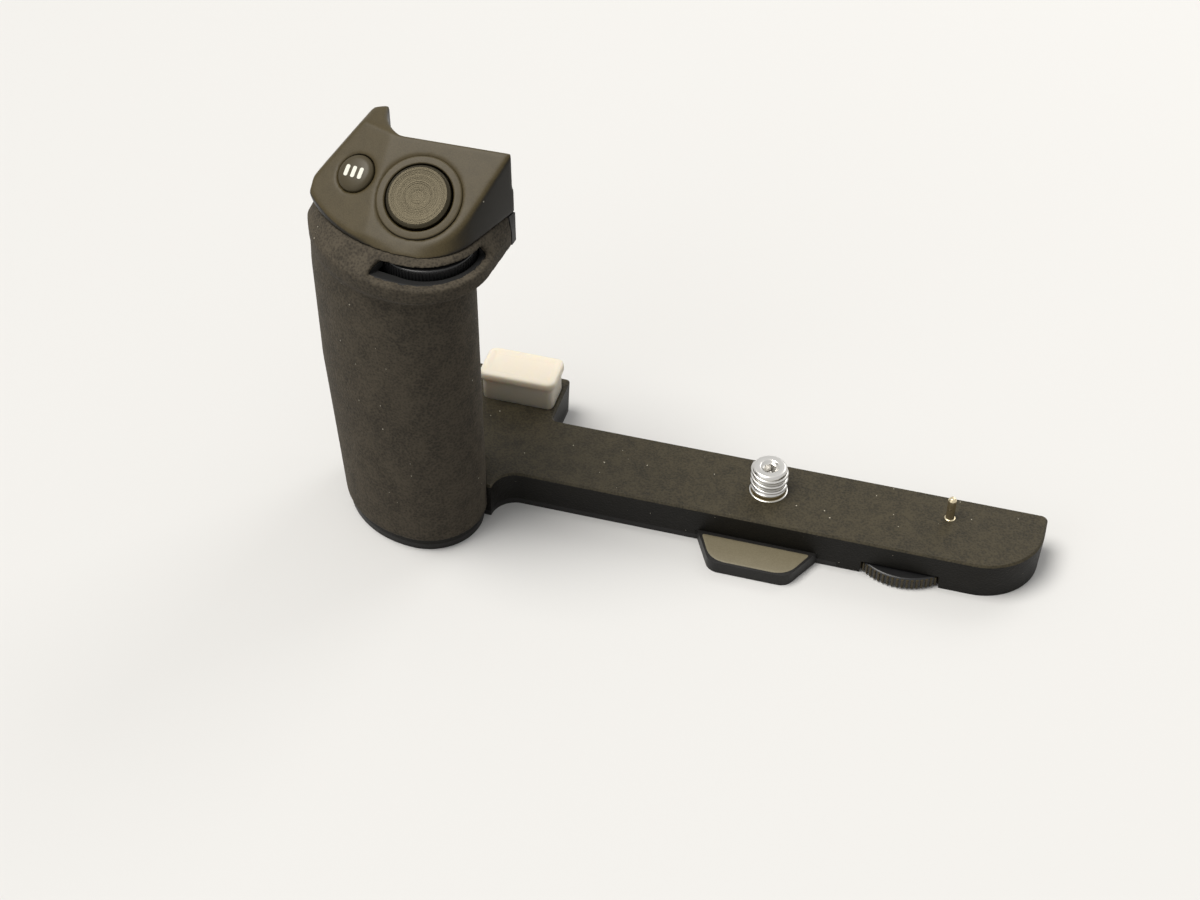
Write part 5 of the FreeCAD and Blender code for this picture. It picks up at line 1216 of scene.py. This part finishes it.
@dataclass
class Fasteners:
    """The screws that show underneath and behind, and those inside."""

    under: tuple[tuple[float, float], ...] = (
        (-66.0, 13.5), (-44.9, 3.2), (-37.5, -5.0), (-24.0, 3.2), (-13.0, -5.0), (-66.0, -1.0))
    rear: tuple[tuple[float, float], ...] = ((-71.2, 2.0), (-54.0, 2.0), (-73.55, 40.0), (-54.0, 40.0))
    head: tuple[tuple[float, float], ...] = ((-61.7, 56.7), (-47.9, 56.7))
    cover_level: float = -7.4
    rear_plane: float = -5.0
    head_screw_length: float = 2.55
    recess: float = 0.7333
    lobe_depth: float = 0.2
    lobes: int = 6
    recess_levels: tuple[float, float] = (0.42, 0.03)
    shank: float = 0.7
    tip: float = 0.4
    taper: float = 0.25

    def build(self, shop: Workshop, trees: Trees) -> None:
        """Make the visible screws as repeated sets and dress the hidden ones."""
        steel = shop.materials["black_steel"]
        below = trees.spread(
            self._screw(Matrix.Identity(4)), [(x, y, self.cover_level) for x, y in self.under], steel)
        shop.add("cover_fixings", below, "black_steel", Body.GRIP, ("cover_screws",))
        lying = tilted("X", 90.0)
        behind = trees.spread(
            self._screw(lying), [(x, self.rear_plane, z) for x, z in self.rear], steel)
        shop.add("rear_fixings", behind, "black_steel", Body.GRIP, ("rear_cover_screws",))
        upper = trees.spread(
            self._screw(lying, self.head_screw_length),
            [(x, self.rear_plane, z) for x, z in self.head], steel)
        shop.add("head_fixings", upper, "black_steel", Body.GRIP, ("head_screws",))
        for node in ("foot_screws", "bracket_screws"):
            shop.dress(node, "black_steel")

    def _screw(self, turn: Matrix, length: float = 3.4) -> bmesh.types.BMesh:
        """A small screw whose head has a six-lobed recess, pointing up from its head.

        Args:
            turn: how the screw is turned.
            length: its whole length in millimetres.

        Returns:
            The screw, in metres.
        """
        count = 48
        outside = [*SCREW_HEAD_PROFILE, (self.shank, length - self.taper), (self.tip, length)]
        made = ring_stack(
            [lobed(self.recess, self.lobe_depth, self.lobes, level, count) for level in self.recess_levels]
            + [circle(radius, height, count) for radius, height in outside])
        bmesh.ops.transform(made, matrix=turn, verts=made.verts)
        return made


@dataclass
class Inside:
    """The parts inside the housing, which keep their CAD form."""

    finishes: dict[str, str] = field(default_factory=lambda: {
        "tripod_bush": "polished_steel",
        "main_board": "board_green",
        "button_board": "board_green",
        "function_board": "board_green",
        "dial_encoder": "board_green",
        "ribbon_cable": "flex_amber",
        "shutter_switch": "switch_black",
        "function_switch": "switch_black",
        "dial_bracket": "bracket_steel",
        "dial_axle": "bright_steel",
    })

    def build(self, shop: Workshop) -> None:
        """Dress each part."""
        for node, finish in self.finishes.items():
            shop.dress(node, finish)


# Camera, light and floor


@dataclass
class Studio:
    """The camera, the lamps and the floor."""

    lens: float = 62.007
    place: Point = (44.077, -259.39, 251.415)
    forward: Point = (-0.20342, 0.70495, -0.67949)
    right: Point = (0.9608, 0.27725, 0.0)
    floor_height: float = -7.4
    floor_half: float = 3.0
    floor_colour: Colour = (0.7, 0.7, 0.695)
    floor_bounce: Colour = (0.3, 0.3, 0.3)
    backdrop: Colour = (0.78, 0.78, 0.775)
    sky: Colour = (1.0, 0.985, 0.96)
    low_light: float = 0.08
    high_light: float = 0.62
    aim: Point = (-20.0, -5.0, 20.0)

    def camera(self) -> None:
        """Set the camera at the photograph's viewing angle."""
        data = bpy.data.cameras.new("camera")
        data.lens = self.lens
        data.sensor_width = 36.0
        data.clip_start, data.clip_end = 0.01, 20.0
        item = bpy.data.objects.new("camera", data)
        bpy.context.scene.collection.objects.link(item)
        back = -Vector(self.forward).normalized()
        side = Vector(self.right).normalized()
        up = back.cross(side).normalized()
        side = up.cross(back)
        turn = Matrix((side, up, back)).transposed().to_4x4()
        item.matrix_world = Matrix.Translation(Vector(self.place) * MM) @ turn
        bpy.context.scene.camera = item

    @staticmethod
    def shown(nodes: Nodes) -> bpy.types.NodeSocket:
        """One where an eye, a gloss or a glass looks straight at a surface, nought for its light."""
        path = nodes.node("ShaderNodeLightPath").outputs
        straight = nodes.math("MAXIMUM", path["Is Camera Ray"], path["Is Glossy Ray"])
        return nodes.math("MAXIMUM", straight, path["Is Transmission Ray"])

    def floor_finish(self) -> bpy.types.Material:
        """The floor's material: pale to the eye, and a duller bounce of light on the object."""
        material = bpy.data.materials.new("pale_floor")
        material.use_nodes = True
        nodes = Nodes(material.node_tree)
        nodes.fill(nodes.tree.nodes["Principled BSDF"], {
            "Roughness": 0.8, "Specular IOR Level": 0.1,
            "Base Color": nodes.mix(self.shown(nodes), self.floor_bounce, self.floor_colour)})
        return material

    def floor(self) -> None:
        """Lay the pale floor."""
        made = bmesh.new()
        bmesh.ops.create_grid(made, x_segments=1, y_segments=1, size=self.floor_half)
        mesh = placed(made, shift(0.0, 0.0, self.floor_height))
        mesh.materials.append(self.floor_finish())
        item = bpy.data.objects.new("floor", mesh)
        bpy.context.scene.collection.objects.link(item)

    def lamp(self, name: str, kind: str, place: Point, settings: dict[str, object]) -> None:
        """Hang one soft light that looks at the object.

        Args:
            name: the light's name.
            kind: the type of light.
            place: where it comes from, in millimetres.
            settings: its size, power and colour.
        """
        data = bpy.data.lights.new(name, kind)
        for key, value in settings.items():
            setattr(data, key, value)
        item = bpy.data.objects.new(name, data)
        bpy.context.scene.collection.objects.link(item)
        item.location = Vector(place) * MM
        aim = Vector(self.aim) - Vector(place)
        item.rotation_euler = aim.to_track_quat("-Z", "Y").to_euler()

    def surround(self) -> None:
        """Soft light from all round, stronger from above, with a pale backdrop to look at."""
        world = bpy.data.worlds.new("surround")
        world.use_nodes = True
        nodes = Nodes(world.node_tree)
        direction = nodes.node("ShaderNodeTexCoord")
        parts = nodes.node("ShaderNodeSeparateXYZ", None, {0: direction.outputs["Generated"]})
        rise = nodes.node("ShaderNodeMapRange", None, {
            "Value": parts.outputs["Z"], "To Min": self.low_light, "To Max": self.high_light})
        sky = nodes.tree.nodes["Background"]
        nodes.fill(sky, {"Color": (*self.sky, 1.0), "Strength": rise.outputs[0]})
        backdrop = nodes.node("ShaderNodeBackground", None, {"Color": (*self.backdrop, 1.0)})
        mix = nodes.node("ShaderNodeMixShader", None, {
            0: self.shown(nodes), 1: sky.outputs[0], 2: backdrop.outputs[0]})
        nodes.fill(nodes.tree.nodes["World Output"], {"Surface": mix.outputs[0]})
        bpy.context.scene.world = world

    def light(self) -> None:
        """Light the object softly from above, with a pale surround."""
        self.lamp("main_light", "SUN", (-320.0, -110.0, 780.0), {
            "angle": math.radians(34.0), "energy": 2.5, "color": (1.0, 0.97, 0.92)})
        self.lamp("rear_rim", "AREA", (260.0, 620.0, 480.0), {
            "shape": "SQUARE", "size": 0.4, "energy": 1.2, "color": (1.0, 0.99, 0.97)})
        self.lamp("front_fill", "AREA", (-380.0, -620.0, 420.0), {
            "shape": "SQUARE", "size": 0.5, "energy": 0.7, "color": (0.96, 0.98, 1.0)})
        self.surround()
        bpy.context.scene.view_settings.view_transform = "Standard"


def main(frame: dict) -> None:
    """Build the scene in order.
    """
    shop = Workshop(frame)
    trees = Trees()
    studio = Studio()
    studio.camera()
    studio.floor()
    studio.light()
    Column().build(shop)
    Head().build(shop)
    Buttons().build(shop)
    Dial().build(shop, trees)
    BaseBar().build(shop)
    ScrewDrive().build(shop, trees)
    Connector().build(shop, trees)
    Fasteners().build(shop, trees)
    Inside().build(shop)


if __name__ == "__main__":
    logging.basicConfig(level=logging.INFO, format="%(message)s")
    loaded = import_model()
    main(loaded)
